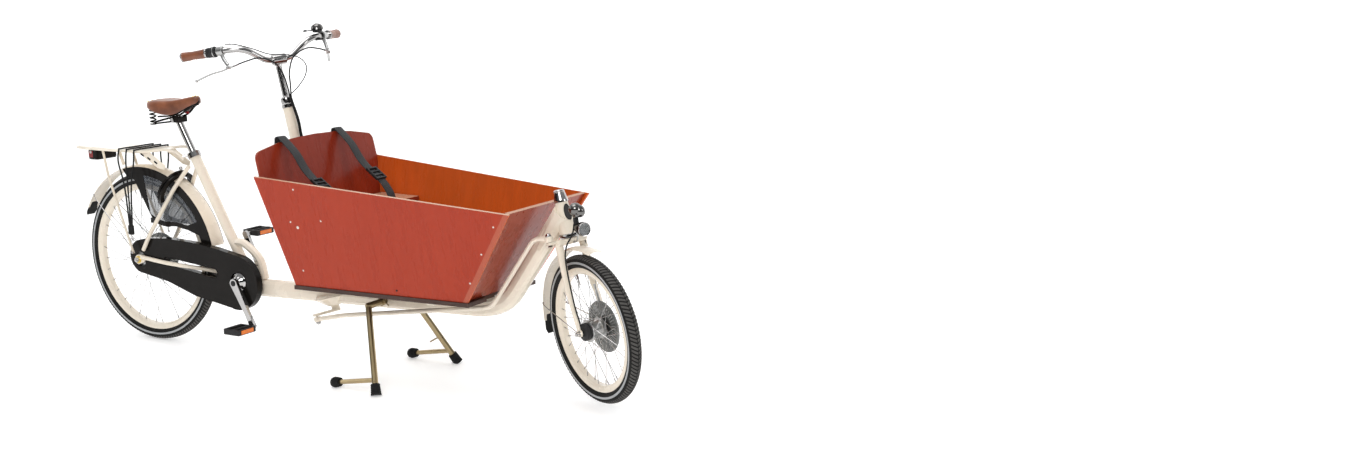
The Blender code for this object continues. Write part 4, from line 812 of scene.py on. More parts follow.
def chain_case():
    """Lacquered case with its slot, and raised lips round the slot and the crank's hole."""
    half = 0.0139
    place = move((REAR_X, -0.0505, 0)) @ UPRIGHT
    outline = [(0.04, 0.411)] + arc(0.065, 102, 256, 30, CASE_REAR)
    outline += [(0.14, 0.252), (0.205, 0.2325), (0.275, 0.211)]
    outline += arc(0.103, -108, 84, 40, CASE_FRONT)
    outline += [(0.4, 0.401), (0.335, 0.4085), (0.27, 0.415), (0.14, 0.419)]
    slot = arc(0.0145, 84, 264, 14, (0.14, 0.333)) + arc(0.0185, -96, 84, 14, (0.38, 0.307))
    crank_hole = arc(0.0385, 0, 352.5, 47, (0.5, 0.285))
    hub_hole = arc(0.029, 0, 350, 35, HUB)
    shape = Shape("chain_case_shell", "gloss")
    shape.sheet(outline, 2 * half, place, [slot, crank_hole, hub_hole], bevel=0.0052, segments=4)
    lip = placed([(*p, half) for p in crank_hole], place)
    shape.tube(lip, 0.0018, 8, 0, closed=True)
    edge = placed([(*p, half) for p in slot], place)
    shape.tube(edge, 0.0014, 8, 0, closed=True)
    shape.done("frame", "chain_case", slot="black_gloss", sharp=50)
    for node in ("chain", "sprocket"):
        dress(node, "alloy")


def rack():
    """The rack itself is the CAD's; this adds thin dark sheets as painted shade where its slots would be,
    its screws and its light.
    """
    dress("rear_rack", "cream", 0.0008)
    shape = Shape("rack_slot_shade_and_bolts", "rubber", "chrome")
    for side in (-1, 1):
        # Thin dark ovals on the side webs: painted shade standing in for the slot holes, which the rack
        # does not have.
        for k in range(3):
            spot = at(0.05 + 0.034 * k, side * 0.0634, 0.7325 - 0.0125 * k)
            slot = move(spot) @ UPRIGHT @ spin(-0.5, "Z")
            shape.sheet(arc(0.0034, 90, 270, 8, (-0.006, 0)) + arc(0.0034, -90, 90, 8, (0.006, 0)),
                        0.0006, slot)
        bolt = at(-0.01, side * 0.0915, 0.356)
        shape.globe(0.0052, move(bolt), 1, 0.8, 12)
    shape.done("frame")
    place = move(at(-0.238, 0, 0.7165))
    light = Shape("rear_light_unit", "gloss", "red", "chrome")
    light.slab((0.05, 0.098, 0.044), place @ move((0.001, 0, 0)), 0, 0.009)
    light.slab((0.006, 0.052, 0.034), place @ move((-0.0235, 0.018, 0)), 1, 0.0028)
    light.slab((0.005, 0.03, 0.03), place @ move((-0.0235, -0.028, 0)), 1, 0.0024)
    for side in (-1, 1):
        light.slab((0.024, 0.004, 0.026), place @ move((-0.008, side * 0.0475, 0)), 1,
                   0.0018)
    spot = place @ move((-0.008, -0.049, 0.008)) @ spin(math.pi / 2, "X")
    light.lathe([(0, 0.0014), (0.005, 0.0014), (0.006, 0), (0, 0)], spot, 20, 2)
    light.done("frame", "rear_light", slot="red_lens")


def binder_straps():
    """Three rubber strands over the deck, gathered in a hooked block on each side."""
    deck = 0.746  # the rack's top
    shape = Shape("binder_strands", "rubber", "chrome")
    for shift in (-0.04, 0.0, 0.04):
        x = -0.01 + shift
        path = [(-0.008 + shift * 0.15, -0.0905, 0.45), (x * 0.45 - 0.006, -0.089, 0.61),
                (x - 0.005, -0.086, 0.7), (x, -0.084, deck + 0.001), (x + 0.002, -0.077, deck + 0.006),
                (x + 0.001, 0.0, deck + 0.0062), (x - 0.002, 0.077, deck + 0.006),
                (x, 0.084, deck + 0.001), (x - 0.005, 0.086, 0.7), (x * 0.45 - 0.006, 0.089, 0.61),
                (-0.008 + shift * 0.15, 0.0905, 0.45)]
        shape.hose(path, 70, GROUND, 0.003, 10)
    for side in (-1, 1):
        shape.slab((0.026, 0.01, 0.036), move(at(-0.008, side * 0.0905, 0.444)), 0, 0.004)
        hook = [(-0.008, side * 0.0905, 0.43), (-0.008, side * 0.0905, 0.412),
                (-0.004, side * 0.09, 0.406), (0.001, side * 0.0895, 0.412)]
        shape.hose(hook, 14, GROUND, 0.0022, 8, 1)
    shape.done("frame", "binder_straps", slot="black_rubber")


# ---- drive --------------------------------------------------------------------------------
def crank_frame():
    """On the crank's axis, with the right-hand arm down its Z."""
    down = pivot("pedal_right_spin") - pivot("crank_spin")
    down.y = 0
    down.normalize()
    return standing(pivot("crank_spin"), LEFT, -down)


def cranks():
    """Axle, two arms 172 mm long, and the boss in front of the case."""
    place = crank_frame()
    length = 0.172
    shape = Shape("crank_and_ring", "chrome", "alloy", "plastic")
    shape.tube(placed([(0, -0.078, 0), (0, 0.064, 0)], place), 0.0086, 20, 1)
    outline = arc(0.0165, 0, 180, 16) + [(-0.0135, -0.05), (-0.01, -0.12)]
    outline += arc(0.0115, 180, 360, 16, (0, -length)) + [(0.01, -0.12), (0.0135, -0.05)]
    right = place @ move((0, -0.0845, 0)) @ UPRIGHT
    left = place @ spin(math.pi, "Y") @ move((0, 0.07, 0)) @ UPRIGHT
    for side, arm in ((-1, right), (1, left)):
        shape.sheet(outline, 0.0125, arm, bevel=0.0035)
        cap = arm @ move((0, 0, -side * 0.0062))
        rise = [(0.0105, 0), (0.0105, 0.0012), (0.0085, 0.0022), (0, 0.0026)]
        shape.lathe([(r, -side * h) for r, h in rise], cap, 24, 2)
    disc = [(0.0345, -0.0505), (0.0355, -0.0615), (0.03, -0.0665), (0.026, -0.068), (0.021, -0.0765),
            (0.016, -0.079), (0.0088, -0.079), (0.0088, -0.0475), (0.0717, -0.0475),
            (0.0717, -0.0505)]
    shape.lathe(disc, place @ TO_Y, 56, ring=True)
    shape.done("crank", "crankset", slot="chrome")


def pedals():
    """Framed platforms with ribbed rubber treads and orange reflectors."""
    for side, word in SIDES:
        place = move(pivot("pedal_%s_spin" % word))
        middle = side * 0.061
        shape = Shape("pedal_platform_" + word, "plastic", "rubber", "orange", "chrome")
        shape.tube(placed([(0, side * 0.0072, 0), (0, side * 0.02, 0)], place), 0.0062, 16, 3)
        shape.tube(placed([(0, side * 0.018, 0), (0, side * 0.104, 0)], place), 0.0095, 16)
        for x in (-0.0335, 0.0335):
            shape.slab((0.007, 0.086, 0.021), place @ move((x, middle, 0)), 0, 0.002)
            face = x + math.copysign(0.0035, x)
            shape.slab((0.0028, 0.06, 0.0145), place @ move((face, middle, 0)), 2, 0.001)
        for y in (-0.04, 0.04):
            shape.slab((0.068, 0.007, 0.021), place @ move((0, middle + y, 0)), 0, 0.002)
        for x in (-0.019, 0.019):
            shape.slab((0.013, 0.074, 0.0255), place @ move((x, middle, 0)), 1, 0.003)
            for k in range(9):
                rib = place @ move((x, middle - 0.032 + 0.008 * k, 0))
                shape.slab((0.0136, 0.003, 0.0262), rib, 1, 0.0006)
        shape.done("pedal_" + word, "pedal_" + word, slot="black_plastic")


# ---- seat ---------------------------------------------------------------------------------
STATIONS = [  # x, half width, crown height, how far the skirt hangs down
    (0.079, 0.044, 0.932, 0.007), (0.088, 0.061, 0.937, 0.013), (0.107, 0.073, 0.941, 0.021),
    (0.131, 0.074, 0.942, 0.031), (0.157, 0.065, 0.942, 0.041), (0.185, 0.051, 0.942, 0.046),
    (0.215, 0.037, 0.946, 0.042), (0.248, 0.028, 0.952, 0.028), (0.28, 0.021, 0.957, 0.017),
    (0.298, 0.012, 0.954, 0.01)]


def saddle_point(station, u, lift=0.0):
    """On the leather: u runs from -1 at the right-hand edge to 1 at the left."""
    x, half, crown, skirt = station
    bend = max(0.0, abs(u) - 0.62) / 0.38
    y = math.copysign(half * (1 - (1 - min(abs(u) / 0.78, 1)) ** 1.25), u)
    dip = 0.003 * math.exp(-(((x - 0.19) / 0.05) ** 2)) * (1 - abs(u))
    return at(x, y, crown - 0.012 * u * u - skirt * bend**1.5 + lift - dip)


def saddle():
    """Sprung leather cover and its brass rivets."""
    shape = Shape("saddle_leather", "leather")
    across = 16
    thick = 0.0042
    rings = []
    for station in STATIONS:
        top = [saddle_point(station, -1 + 2 * i / across, thick / 2) for i in range(across + 1)]
        low = []
        for i in range(across, -1, -1):
            u = -1 + 2 * i / across
            inner = (station[0], station[1] - thick * min(1, abs(u) * 1.4), station[2], station[3])
            low.append(saddle_point(inner, u, -thick / 2 if abs(u) < 0.9 else -0.001))
        rings.append(top + low)
    shape.rings(rings)
    shape.done("seat", "saddle", slot="brown_leather", sharp=80, subdivide=2)
    rivets = Shape("saddle_rivets", "brass")
    for index, spots in ((1, (-0.6, -0.32, 0.0, 0.32, 0.6)), (8, (-0.42, 0.0, 0.42))):
        for u in spots:
            place = move(saddle_point(STATIONS[index], u, 0.0022))
            rivets.globe(0.0042, place, 0, 0.45, 14)
    rivets.done("seat")


def coil(shape, low, high, radius, turns, wire, look):
    """A spring from low to high, slimmer at its ends."""
    path = []
    count = turns * 14
    for i in range(count + 1):
        t = i / count
        u, v = polar(radius * (0.86 + 0.14 * math.sin(math.pi * t)), 360 * turns * t)
        path.append(Vector(low).lerp(Vector(high), t) + Vector((u, v, 0)))
    shape.tube(path, wire, 8, look)


def seat_post():
    """Post, clamp, wire rails and the two coil springs."""
    top, foot = at(0.25, 0, 0.745), at(0.5, 0, 0.285)
    run = (foot - top).normalized()
    shape = Shape("seat_post_and_rails", "chrome", "gloss", "red")
    shape.tube([top + run * 0.17, top - run * 0.12, top - run * 0.135], 0.0134, 24)
    clamp = move(at(0.186, 0, 0.868))
    shape.slab((0.038, 0.052, 0.022), clamp, 1, 0.004)
    shape.tube(placed([(0, -0.034, 0), (0, 0.034, 0)], clamp), 0.0075, 6, 0)
    for side in (-1, 1):
        rail = [(0.108, side * 0.046, 0.857), (0.15, side * 0.028, 0.87), (0.215, side * 0.02, 0.884),
                (0.276, side * 0.008, 0.93)]
        shape.tube([at(*p) for p in rounded(rail, 0.03, 8)], 0.0038, 10, 1)
        rail = [(0.12, side * 0.038, 0.878), (0.186, side * 0.017, 0.886), (0.272, side * 0.006, 0.93)]
        shape.hose(rail, 12, GROUND, 0.003, 8, 1)
        coil(shape, at(0.105, side * 0.048, 0.852), at(0.103, side * 0.048, 0.92), 0.0108, 5, 0.0028, 1)
        for z in (0.851, 0.92):
            cup = move(at(0.105 - (z - 0.851) * 0.03, side * 0.048, z))
            shape.lathe([(0, 0.002), (0.012, 0.002), (0.013, 0), (0.012, -0.002), (0, -0.002)], cup, 24, 1)
    hoop = [(0.105, -0.048, 0.851), (0.094, -0.03, 0.849), (0.09, 0, 0.849), (0.094, 0.03, 0.849),
            (0.105, 0.048, 0.851)]
    shape.hose(hoop, 20, GROUND, 0.0032, 8, 1)
    shape.slab((0.024, 0.022, 0.018), move(at(0.273, 0, 0.932)), 1, 0.003)
    shape.slab((0.02, 0.004, 0.008), move(at(0.236, -0.004, 0.896)), 2, 0.001)
    shape.done("seat", "seat_post", slot="chrome")


# ---- handlebar ----------------------------------------------------------------------------
CLAMP = Vector((0.018, 0, 0.16))
BAR_CORNER = Vector((-0.004, 0.186, 0.2225))
BAR_END = Vector((-0.113, 0.29, 0.233))
BAR_R = 0.0112
LEVER_PIVOT = Vector((0.02, 0.186, 0.158))


def bar_point(along, side):
    """A point on the straight end of the bar, measured out from its corner."""
    point = BAR_CORNER + (BAR_END - BAR_CORNER).normalized() * along
    return Vector((point.x, side * point.y, point.z))


def bar_frame(along, side):
    """A frame on the bar, its Z outwards along it."""
    run = bar_point(1, side) - bar_point(0, side)
    return COLUMN @ move(bar_point(along, side)) @ aimed(run)


def stem_and_bar():
    """Quill stem with its clamp, and the swept bar with the two lever brackets."""
    shape = Shape("quill_stem", "chrome", "alloy")
    profile = [(0, 0.152), (0.0112, 0.15), (0.0112, 0.03), (0.014, 0.027), (0.015, 0.0255),
               (0.0195, 0.023), (0.0205, 0.02), (0.0205, 0.004), (0.0195, 0.001), (0, 0.001)]
    shape.lathe(profile, COLUMN, 36)
    neck = [(0, 0, 0.14), (0.006, 0, 0.149), (0.018, 0, 0.16)]
    shape.hose(neck, 8, COLUMN, 0.0138, 20)
    shape.globe(0.0132, COLUMN @ move((0, 0, 0.147)), 0)
    hollow = [(0.0124, 0.024), (0.0188, 0.024), (0.0195, 0.022), (0.0195, -0.022), (0.0188, -0.024),
              (0.0124, -0.024)]
    shape.lathe(hollow, COLUMN @ move(CLAMP) @ TO_Y, 36, ring=True)
    bolt = COLUMN @ move(CLAMP + Vector((0.004, 0, -0.022)))
    shape.lathe([(0, 0.005), (0.006, 0.005), (0.0065, -0.004), (0, -0.004)], bolt, 6, 1)
    shape.done("column", "stem", slot="chrome")
    half = [CLAMP, CLAMP + Vector((0, 0.044, 0.001)), Vector((0.028, 0.122, 0.216)), BAR_CORNER, BAR_END]
    left = rounded(half, 0.05, 10)
    right = [Vector((p.x, -p.y, p.z)) for p in reversed(left[1:])]
    bar = Shape("swept_bar", "chrome", "alloy")
    bar.tube(placed([*right, *left], COLUMN), BAR_R, 24)
    for side in (-1, 1):
        ring = [(BAR_R + 0.0002, 0.011), (0.0158, 0.011), (0.0165, 0.009), (0.0165, -0.009),
                (0.0158, -0.011), (BAR_R + 0.0002, -0.011)]
        bar.lathe(ring, bar_frame(0.006, side), 28, 1, ring=True)
        hinge = Vector((LEVER_PIVOT.x, side * LEVER_PIVOT.y, LEVER_PIVOT.z + 0.01))
        start = bar_point(0.006, side)
        knee = start + Vector((0.012, 0, -0.03))
        bar.hose([start, knee, hinge], 12, COLUMN, 0.0066, 12, 1, flat=0.8)
    bar.done("column", "handlebar", slot="chrome")


def grips():
    """Leather sleeves with end bands, a cap and a row of stitches."""
    for side, word in SIDES:
        shape = Shape("grip_sleeve_" + word, "leather", "chrome", "thread")
        middle, reach = 0.10575, 0.04775
        place = bar_frame(middle, side)
        sleeve = [(BAR_R + 0.0004, -reach + 0.003)]
        for i in range(15):
            t = i / 14
            swell = 0.0156 + 0.0009 * math.cos(2 * math.pi * t) + 0.0003 * math.sin(20 * t)
            sleeve.append((swell, -reach + 0.005 + (2 * reach - 0.009) * t))
        sleeve.append((BAR_R + 0.0004, reach - 0.002))
        shape.lathe(sleeve, place, 32, ring=True)
        for z, r in ((-reach + 0.002, 0.0172), (reach - 0.001, 0.0172)):
            band = [(r - 0.0008, z + 0.003), (r, z + 0.002), (r, z - 0.002), (r - 0.0008, z - 0.003),
                    (BAR_R + 0.0004, z - 0.003), (BAR_R + 0.0004, z + 0.003)]
            shape.lathe(band, place, 32, 1, ring=True)
        cap = [(0, reach + 0.0045), (0.009, reach + 0.0045), (0.0135, reach + 0.003),
               (0.015, reach + 0.0015), (0, reach + 0.0015)]
        shape.lathe(cap, place, 32, 1)
        for k in range(22):
            z = -reach + 0.008 + k * 0.0037
            for shift in (-0.0022, 0.0022):
                spot = [(shift, -0.0161, z), (shift * 0.2, -0.0164, z + 0.0018)]
                shape.tube(placed(spot, place), 0.0004, 5, 2)
        shape.done("column", "grip_" + word, slot="brown_leather")


def shifter():
    """Ribbed twist grip inboard of the right-hand sleeve."""
    shape = Shape("twist_shifter_ring", "plastic", "alloy")
    run = bar_frame(0.0395, -1)
    profile = [(BAR_R + 0.0014, 0.0158), (0.016, 0.0158), (0.0168, 0.0145), (0.0172, 0.002),
               (0.019, -0.003), (0.0195, -0.006), (0.0195, -0.0145), (0.0185, -0.0158),
               (BAR_R + 0.0014, -0.0158)]
    shape.lathe(profile, run, 40, ring=True)
    for k in range(20):
        turn = run @ spin(2 * math.pi * k / 20, "Z")
        shape.slab((0.0012, 0.0022, 0.0115), turn @ move((0.0172, 0, 0.008)), 0, 0.0004)
    band = [(0.0197, -0.0085), (0.0197, -0.0115), (0.019, -0.0115), (0.019, -0.0085)]
    shape.lathe(band, run, 40, 1, ring=True)
    shape.done("shifter", "twist_shifter", slot="black_plastic")


def levers():
    """Flattened blades that curve back along the grips, with round ends."""
    for side, word in SIDES:
        place = COLUMN @ move((LEVER_PIVOT.x, side * LEVER_PIVOT.y, LEVER_PIVOT.z))
        path = [(0.024, -0.006 * side, -0.001), (0.0, 0.0, 0.0), (-0.03, side * 0.012, -0.004),
                (-0.09, side * 0.036, -0.004), (-0.165, side * 0.066, -0.012)]
        shape = Shape("brake_blade_" + word, "alloy", "chrome")
        shape.hose(path, 40, place, 0.0052, 14, 0, flat=0.62, up=(0, 0, 1),
                   taper=lambda t: 0.85 + 0.25 * t)
        shape.globe(0.0062, place @ move(path[-1]), 0)
        pin = Vector((path[-1][1], -path[-1][0], 0)).normalized() * 0.008
        shape.tube(placed([-pin, pin], place), 0.0056, 16, 1)
        shape.done("lever_" + word, "brake_lever_" + word, slot="alloy")


def bells():
    """Domed bell on its clip, and the thumb lever on its own hinge."""
    base = bar_point(-0.028, 1) + Vector((0, 0, BAR_R + 0.001))
    place = COLUMN @ move(base)
    shape = Shape("bell_dome", "dark_chrome", "plastic")
    shape.lathe([(0, 0.034), (0.003, 0.034), (0.0036, 0.0325), (0.008, 0.0325), (0.014, 0.03),
                 (0.019, 0.026), (0.0216, 0.02), (0.0225, 0.014), (0.0228, 0.0095),
                 (0.0215, 0.009), (0, 0.009)], place, 36)
    shape.lathe([(0, 0.0095), (0.0175, 0.0092), (0.0175, 0.004), (0.008, 0.0015), (0, 0.0015)], place,
                28, 1)
    clip = COLUMN @ move(bar_point(-0.028, 1))
    shape.slab((0.016, 0.026, 0.005), clip @ move((0, 0, -0.0125)), 1, 0.0015)
    shape.done("column", "bell", slot="chrome")
    thumb = Shape("bell_lever", "plastic")
    hinge = move(pivot("bell_thumb_push")) @ COLUMN.to_3x3().to_4x4()
    thumb.slab((0.0055, 0.024, 0.0032), hinge @ move((0, -0.011, 0)), 0, 0.001)
    thumb.slab((0.012, 0.01, 0.006), hinge @ move((0, -0.024, 0.001)), 0, 0.0022)
    for k in range(4):
        rib = hinge @ move((0, -0.0275 + 0.0022 * k, 0.0041))
        thumb.slab((0.0105, 0.0009, 0.0008), rib, 0)
    thumb.done("bell_thumb", "bell_thumb", slot="black_plastic")


def bar_cables():
    """Brake and gear cables: loops round the stem, gathered ahead of the column."""
    shape = Shape("bar_cable_loops", "rubber", "chrome")
    gather = [(0.0285, 0.004, 0.03), (0.03, 0.003, 0.06)]
    right = [*gather, (0.032, -0.004, 0.11), (0.04, -0.03, 0.15), (0.05, -0.08, 0.172),
             (0.052, -0.13, 0.168), (0.046, -0.176, 0.1585)]
    gear = [(0.0325, 0.006, 0.03), (0.046, 0.034, 0.05), (0.056, 0.066, 0.084), (0.058, 0.078, 0.12),
            (0.054, 0.062, 0.15), (0.046, 0.024, 0.168), (0.043, -0.04, 0.181), (0.046, -0.098, 0.209),
            (0.036, -0.15, 0.233), (0.018, -0.1765, 0.24)]
    left = [(0.03, 0.009, 0.03), (0.036, 0.013, 0.064), (0.04, 0.02, 0.112), (0.046, 0.046, 0.16),
            (0.054, 0.096, 0.18), (0.054, 0.14, 0.172), (0.046, 0.176, 0.1585)]
    for path, radius in ((right, 0.0026), (gear, 0.0018), (left, 0.0026)):
        points = placed(flowing(path, 44), COLUMN)
        shape.tube(points, radius, 10)
        run = (points[-1] - points[-3]).normalized()
        shape.tube([points[-1] - run * 0.016, points[-1] + run * 0.002], radius + 0.0012, 12, 1)
    shape.done("column", "bar_cables", slot="black_rubber")
    upper = placed([(0.03, 0.004, 0.032), (0.029, 0.004, 0.01)], COLUMN)
    lower = placed([(0.0285, 0.0, -0.06), (0.0265, 0.0, -0.11), (0.0255, 0.0, -0.15)], HOUSING)
    bundle = Shape("column_cable_twist", "rubber")
    for shift in (Vector((0, 0, 0)), Vector((0.0028, -0.004, 0)), Vector((0.0026, 0.0042, 0))):
        bundle.tube([p + shift for p in flowing(upper + lower, 30)], 0.0026, 10)
    start, end = COLUMN @ Vector((0, 0, 0.02)), HOUSING @ Vector((0, 0, -0.1))
    bundle.done("frame", slot="black_rubber", blend=("column", "frame", tuple(start), tuple(end)))


# ---- column, head and cables on the frame --------------------------------------------------
def frame_tubes():
    """The painted tubes are the CAD's."""
    for node in ("main_beam", "column_housing", "seat_tube", "chain_stay_right", "chain_stay_left",
                 "seat_stay_right", "seat_stay_left", "steering_column", "fork", "steering_rod"):
        dress(node, "cream")
    dress("seat_clamp", "chrome", 0.0006)


def badge(shape):
    """Oval plate on the head tube, laid on the tube's skin."""
    turn, height = -0.38, 0.08  # its middle, in radians round the tube and metres up it
    half_turn, half_height, steps = 0.55, 0.027, 28
    skin = surface("main_beam")
    rings = []
    for lift, grow in ((0.0004, 1.0), (0.002, 1.0), (0.0026, 0.88)):
        ring = []
        for k in range(steps):
            u, v = polar(1.0, 360 * k / steps)
            angle = turn + u * half_turn * grow
            outwards = HEAD.to_3x3() @ Vector((math.cos(angle), math.sin(angle), 0))
            start = HEAD @ Vector((0, 0, height + v * half_height * grow)) + outwards * 0.2
            ring.append(skin.ray_cast(start, -outwards)[0] + outwards * lift)
        rings.append(ring)
    shape.rings(rings, 1)


def head_fittings():
    """Chrome cap and cups on the head tube, the badge, and the collar on the column."""
    shape = Shape("head_cap_and_cups", "chrome", "badge")
    shape.lathe([(0, 0.156), (0.013, 0.1555), (0.0172, 0.1525), (0.0182, 0.149), (0.0176, 0.148),
                 (0.0232, 0.122), (0.024, 0.1205), (0.024, 0.115), (0.0225, 0.114), (0, 0.114)],
                HEAD, 40)
    cup = [(0.0308, 0.01), (0.0325, 0.0085), (0.0325, 0.003), (0.03, 0.0018), (0.016, 0.0018),
           (0.016, 0.01)]
    shape.lathe(cup, HEAD, 40, ring=True)
    badge(shape)
    shape.done("frame")
    collar = Shape("column_collar", "chrome", "rubber")
    collar.lathe([(0.02, -0.0005), (0.0222, -0.0015), (0.0222, -0.012), (0.0206, -0.0135),
                  (0.0198, -0.0135), (0.0198, -0.0005)], HOUSING, 40, ring=True)
    collar.lathe([(0.0205, -0.715), (0.0235, -0.718), (0.0235, -0.732), (0.0205, -0.734)], HOUSING, 32, 1,
                 ring=True)
    collar.done("frame")


def frame_cables():
    """The bundle down the front of the column, then along the beam to both brakes."""
    shape = Shape("frame_cable_run", "rubber")
    for shift in (-0.0042, 0.0, 0.0042):
        run = [(0.0255, shift, -0.148), (0.0245, shift, -0.3), (0.0245, shift, -0.5),
               (0.025, shift, -0.64), (0.03, shift, -0.684)]
        shape.hose(run, 40, HOUSING, 0.0026, 10)
    for height in (-0.2, -0.38, -0.56):
        band = [(0.0203, height + 0.004), (0.0212, height + 0.003), (0.0212, height - 0.003),
                (0.0203, height - 0.004)]
        shape.lathe(band, HOUSING, 32, ring=True)
        shape.slab((0.006, 0.016, 0.007), HOUSING @ move((0.027, 0, height)), 0, 0.0015)
    under = [(0.935, 0.029, 0.262), (1.06, 0.0275, 0.246), (1.25, 0.0275, 0.252),
             (1.45, 0.0275, 0.258), (1.59, 0.0285, 0.276), (1.7, 0.03, 0.36),
             (1.8, 0.033, 0.5), (1.845, 0.042, 0.56)]
    shape.hose(under, 80, GROUND, 0.0027, 10)
    back = [(0.92, 0.029, 0.262), (0.76, 0.0275, 0.239), (0.6, 0.0275, 0.234),
            (0.52, 0.034, 0.248), (0.42, 0.038, 0.292), (0.25, 0.056, 0.305),
            (0.16, 0.062, 0.308)]
    shape.hose(back, 60, GROUND, 0.0027, 10)
    for x in (0.64, 0.86, 1.12, 1.33, 1.52):
        z = 0.244 + (x - 0.548) * 0.0312  # just under the beam, which rises to the front
        shape.slab((0.01, 0.0065, 0.02), move(at(x, 0.0275, z)), 0, 0.0015)
    shape.done("frame")
    wire = Shape("fork_lamp_wire", "rubber")
    path = [(0.064, -0.008, 0.04), (0.054, -0.018, 0.006), (0.04, -0.042, -0.03),
            (0.032, -0.052, -0.084), (0.029, -0.053, -0.21), (0.032, -0.048, -0.29)]
    wire.hose(path, 40, FORK, 0.0026, 8)
    brake = [(0.016, 0.042, -0.008), (0.014, 0.048, -0.034), (-0.002, 0.053, -0.12),
             (-0.002, 0.056, -0.22), (0.006, 0.048, -0.27)]
    wire.hose(brake, 40, FORK, 0.0025, 8)
    wire.done("fork")


FRONT_NUTS = [  # radius, inner and outer end along the axle, sides, look
    (0.0115, 0.0592, 0.0612, 28, 0), (0.0088, 0.061, 0.069, 6, 0), (0.0045, 0.0685, 0.0725, 16, 0)]
REAR_NUTS = [
    (0.0135, 0.0732, 0.0752, 28, 1), (0.0098, 0.075, 0.086, 6, 0), (0.005, 0.0855, 0.0895, 16, 0)]


def axle_nuts(shape, place, rows):
    """Washer, nut and thread at each end of an axle."""
    for side in (-1, 1):
        for radius, low, high, steps, look in rows:
            ring = [(radius, side * high), (radius, side * low), (0.001, side * low), (0.001, side * high)]
            shape.lathe(ring, place @ TO_Y, steps, look, ring=True)


def fork_fittings():
    """Crown race, axle nuts and the steering rod's two ball joints."""
    shape = Shape("fork_nuts", "chrome")
    shape.lathe([(0.018, 0.0015), (0.03, 0.0005), (0.031, -0.0015), (0.018, -0.003)], FORK, 36,
                ring=True)
    axle_nuts(shape, FRONT_AXLE, FRONT_NUTS)
    shape.lathe([(0, -0.0135), (0.008, -0.014), (0.008, -0.019), (0, -0.02)],
                FORK @ move((0, -STEER_ARM, 0)), 6)
    shape.done("fork")
    shape = Shape("rod_ball", "chrome")
    shape.globe(0.0105, FORK @ move((0, -STEER_ARM, 0.017)), 0, 0.9, 20)
    shape.globe(0.0095, COLUMN @ move((0, -STEER_ARM, -0.785)), 0, 0.9, 20)
    shape.done("steering_rod")
    shape = Shape("rear_axle_nuts", "chrome", "brass")
    axle_nuts(shape, REAR_AXLE, REAR_NUTS)
    shape.done("frame")


def headlamp():
    """Two-lobed housing over a round lens in a chrome ring."""
    shape = Shape("headlamp_unit", "gloss", "chrome", "glass")
    lens_place = FORK @ between((0.066, 0, 0.024), (0.106, 0, 0.0165))
    reach = 0.0203
    shape.lathe([(0.0208, reach), (0.0232, reach - 0.001), (0.0236, reach - 0.006), (0.0234, reach - 0.011),
                 (0.0205, reach - 0.02), (0.0145, -reach), (0, -reach), (0, -reach + 0.003),
                 (0.012, -reach + 0.003), (0.0205, reach - 0.004)], lens_place, 40)
    shape.lathe([(0.0232, reach + 0.0005), (0.0224, reach + 0.002), (0.0205, reach + 0.0015),
                 (0.0205, reach - 0.0015), (0.0232, reach - 0.002)], lens_place, 40, 1, ring=True)
    shape.lathe([(0.0022, reach - 0.022), (0.012, reach - 0.019), (0.02, reach - 0.006),
                 (0.019, reach - 0.006), (0.011, reach - 0.021), (0.0022, reach - 0.024)], lens_place,
                36, 1, ring=True)
    shape.lathe([(0, reach + 0.0035), (0.01, reach + 0.0026), (0.0205, reach + 0.0002),
                 (0.0205, reach - 0.0012), (0, reach - 0.001)], lens_place, 36, 2)
    shape.done("fork", "headlamp", slot="black_gloss")
    case = Shape("headlamp_housing", "dark_chrome", "plastic", "alloy")
    top = FORK @ move((0.083, 0, 0.078))
    case.globe(0.0225, top @ move((-0.001, -0.003, 0.006)), 0, 0.95, 24)
    case.globe(0.018, top @ move((0.008, 0.006, -0.002)), 0, 1.15, 24)
    case.slab((0.03, 0.03, 0.03), top @ move((0, 0, -0.006)), 0, 0.01)
    neck = [(0.064, 0, 0.031), (0.0655, 0, 0.05), (0.072, 0, 0.07)]
    case.hose(neck, 12, FORK, 0.009, 14, 1, flat=0.8)
    bracket = [(0.0235, 0, -0.02), (0.042, 0, -0.018), (0.057, 0, -0.002), (0.064, 0, 0.029)]
    case.hose(bracket, 20, FORK, 0.0042, 10, 2, flat=0.6)
    case.done("fork", slot="black_gloss", sharp=60)


# ---- cargo box ----------------------------------------------------------------------------
SIDE_LEAN = 0.1966  # how far a side panel leans out for each metre up
FLOOR_TOP = 0.353


def side_y(x, z):
    """The side panel's outer face."""
    return 0.2249 - 0.0615 * x + SIDE_LEAN * z


def back_x(z):
    """The backrest's rear face."""
    return 0.951 - 0.228 * (z - FLOOR_TOP)


def front_x(z):
    """The front board's outer face."""
    return 1.634 + 0.65 * (z - FLOOR_TOP)


def on_side(side, x, z):
    """A frame on a side panel's outer face, its Z outwards."""
    spot = at(x, side * (side_y(x, z) + 0.0002), z)
    return move(spot) @ spin(-side * (math.pi / 2 + math.atan(SIDE_LEAN)), "X")


def box_panels():
    """The boards are the CAD's, stained and with softened edges."""
    for node in ("box_side_right", "box_side_left"):
        dress(node, "ply_side", 0.0012)
    dress("box_front", "ply", 0.0012)
    dress("backrest", "ply_back", 0.0015)
    dress("bench_seat", "ply", 0.0015)
    dress("box_floor", "floor", 0.001)


def screw(shape, place, size, look=0):
    """A domed head on a thin washer, standing on the place's Z."""
    shape.lathe([(0, size * 0.55), (size * 0.5, size * 0.48), (size * 0.82, size * 0.28),
                 (size * 0.9, size * 0.12), (size * 1.15, size * 0.1), (size * 1.15, -0.0005),
                 (0, -0.0005)], place, 20, look)


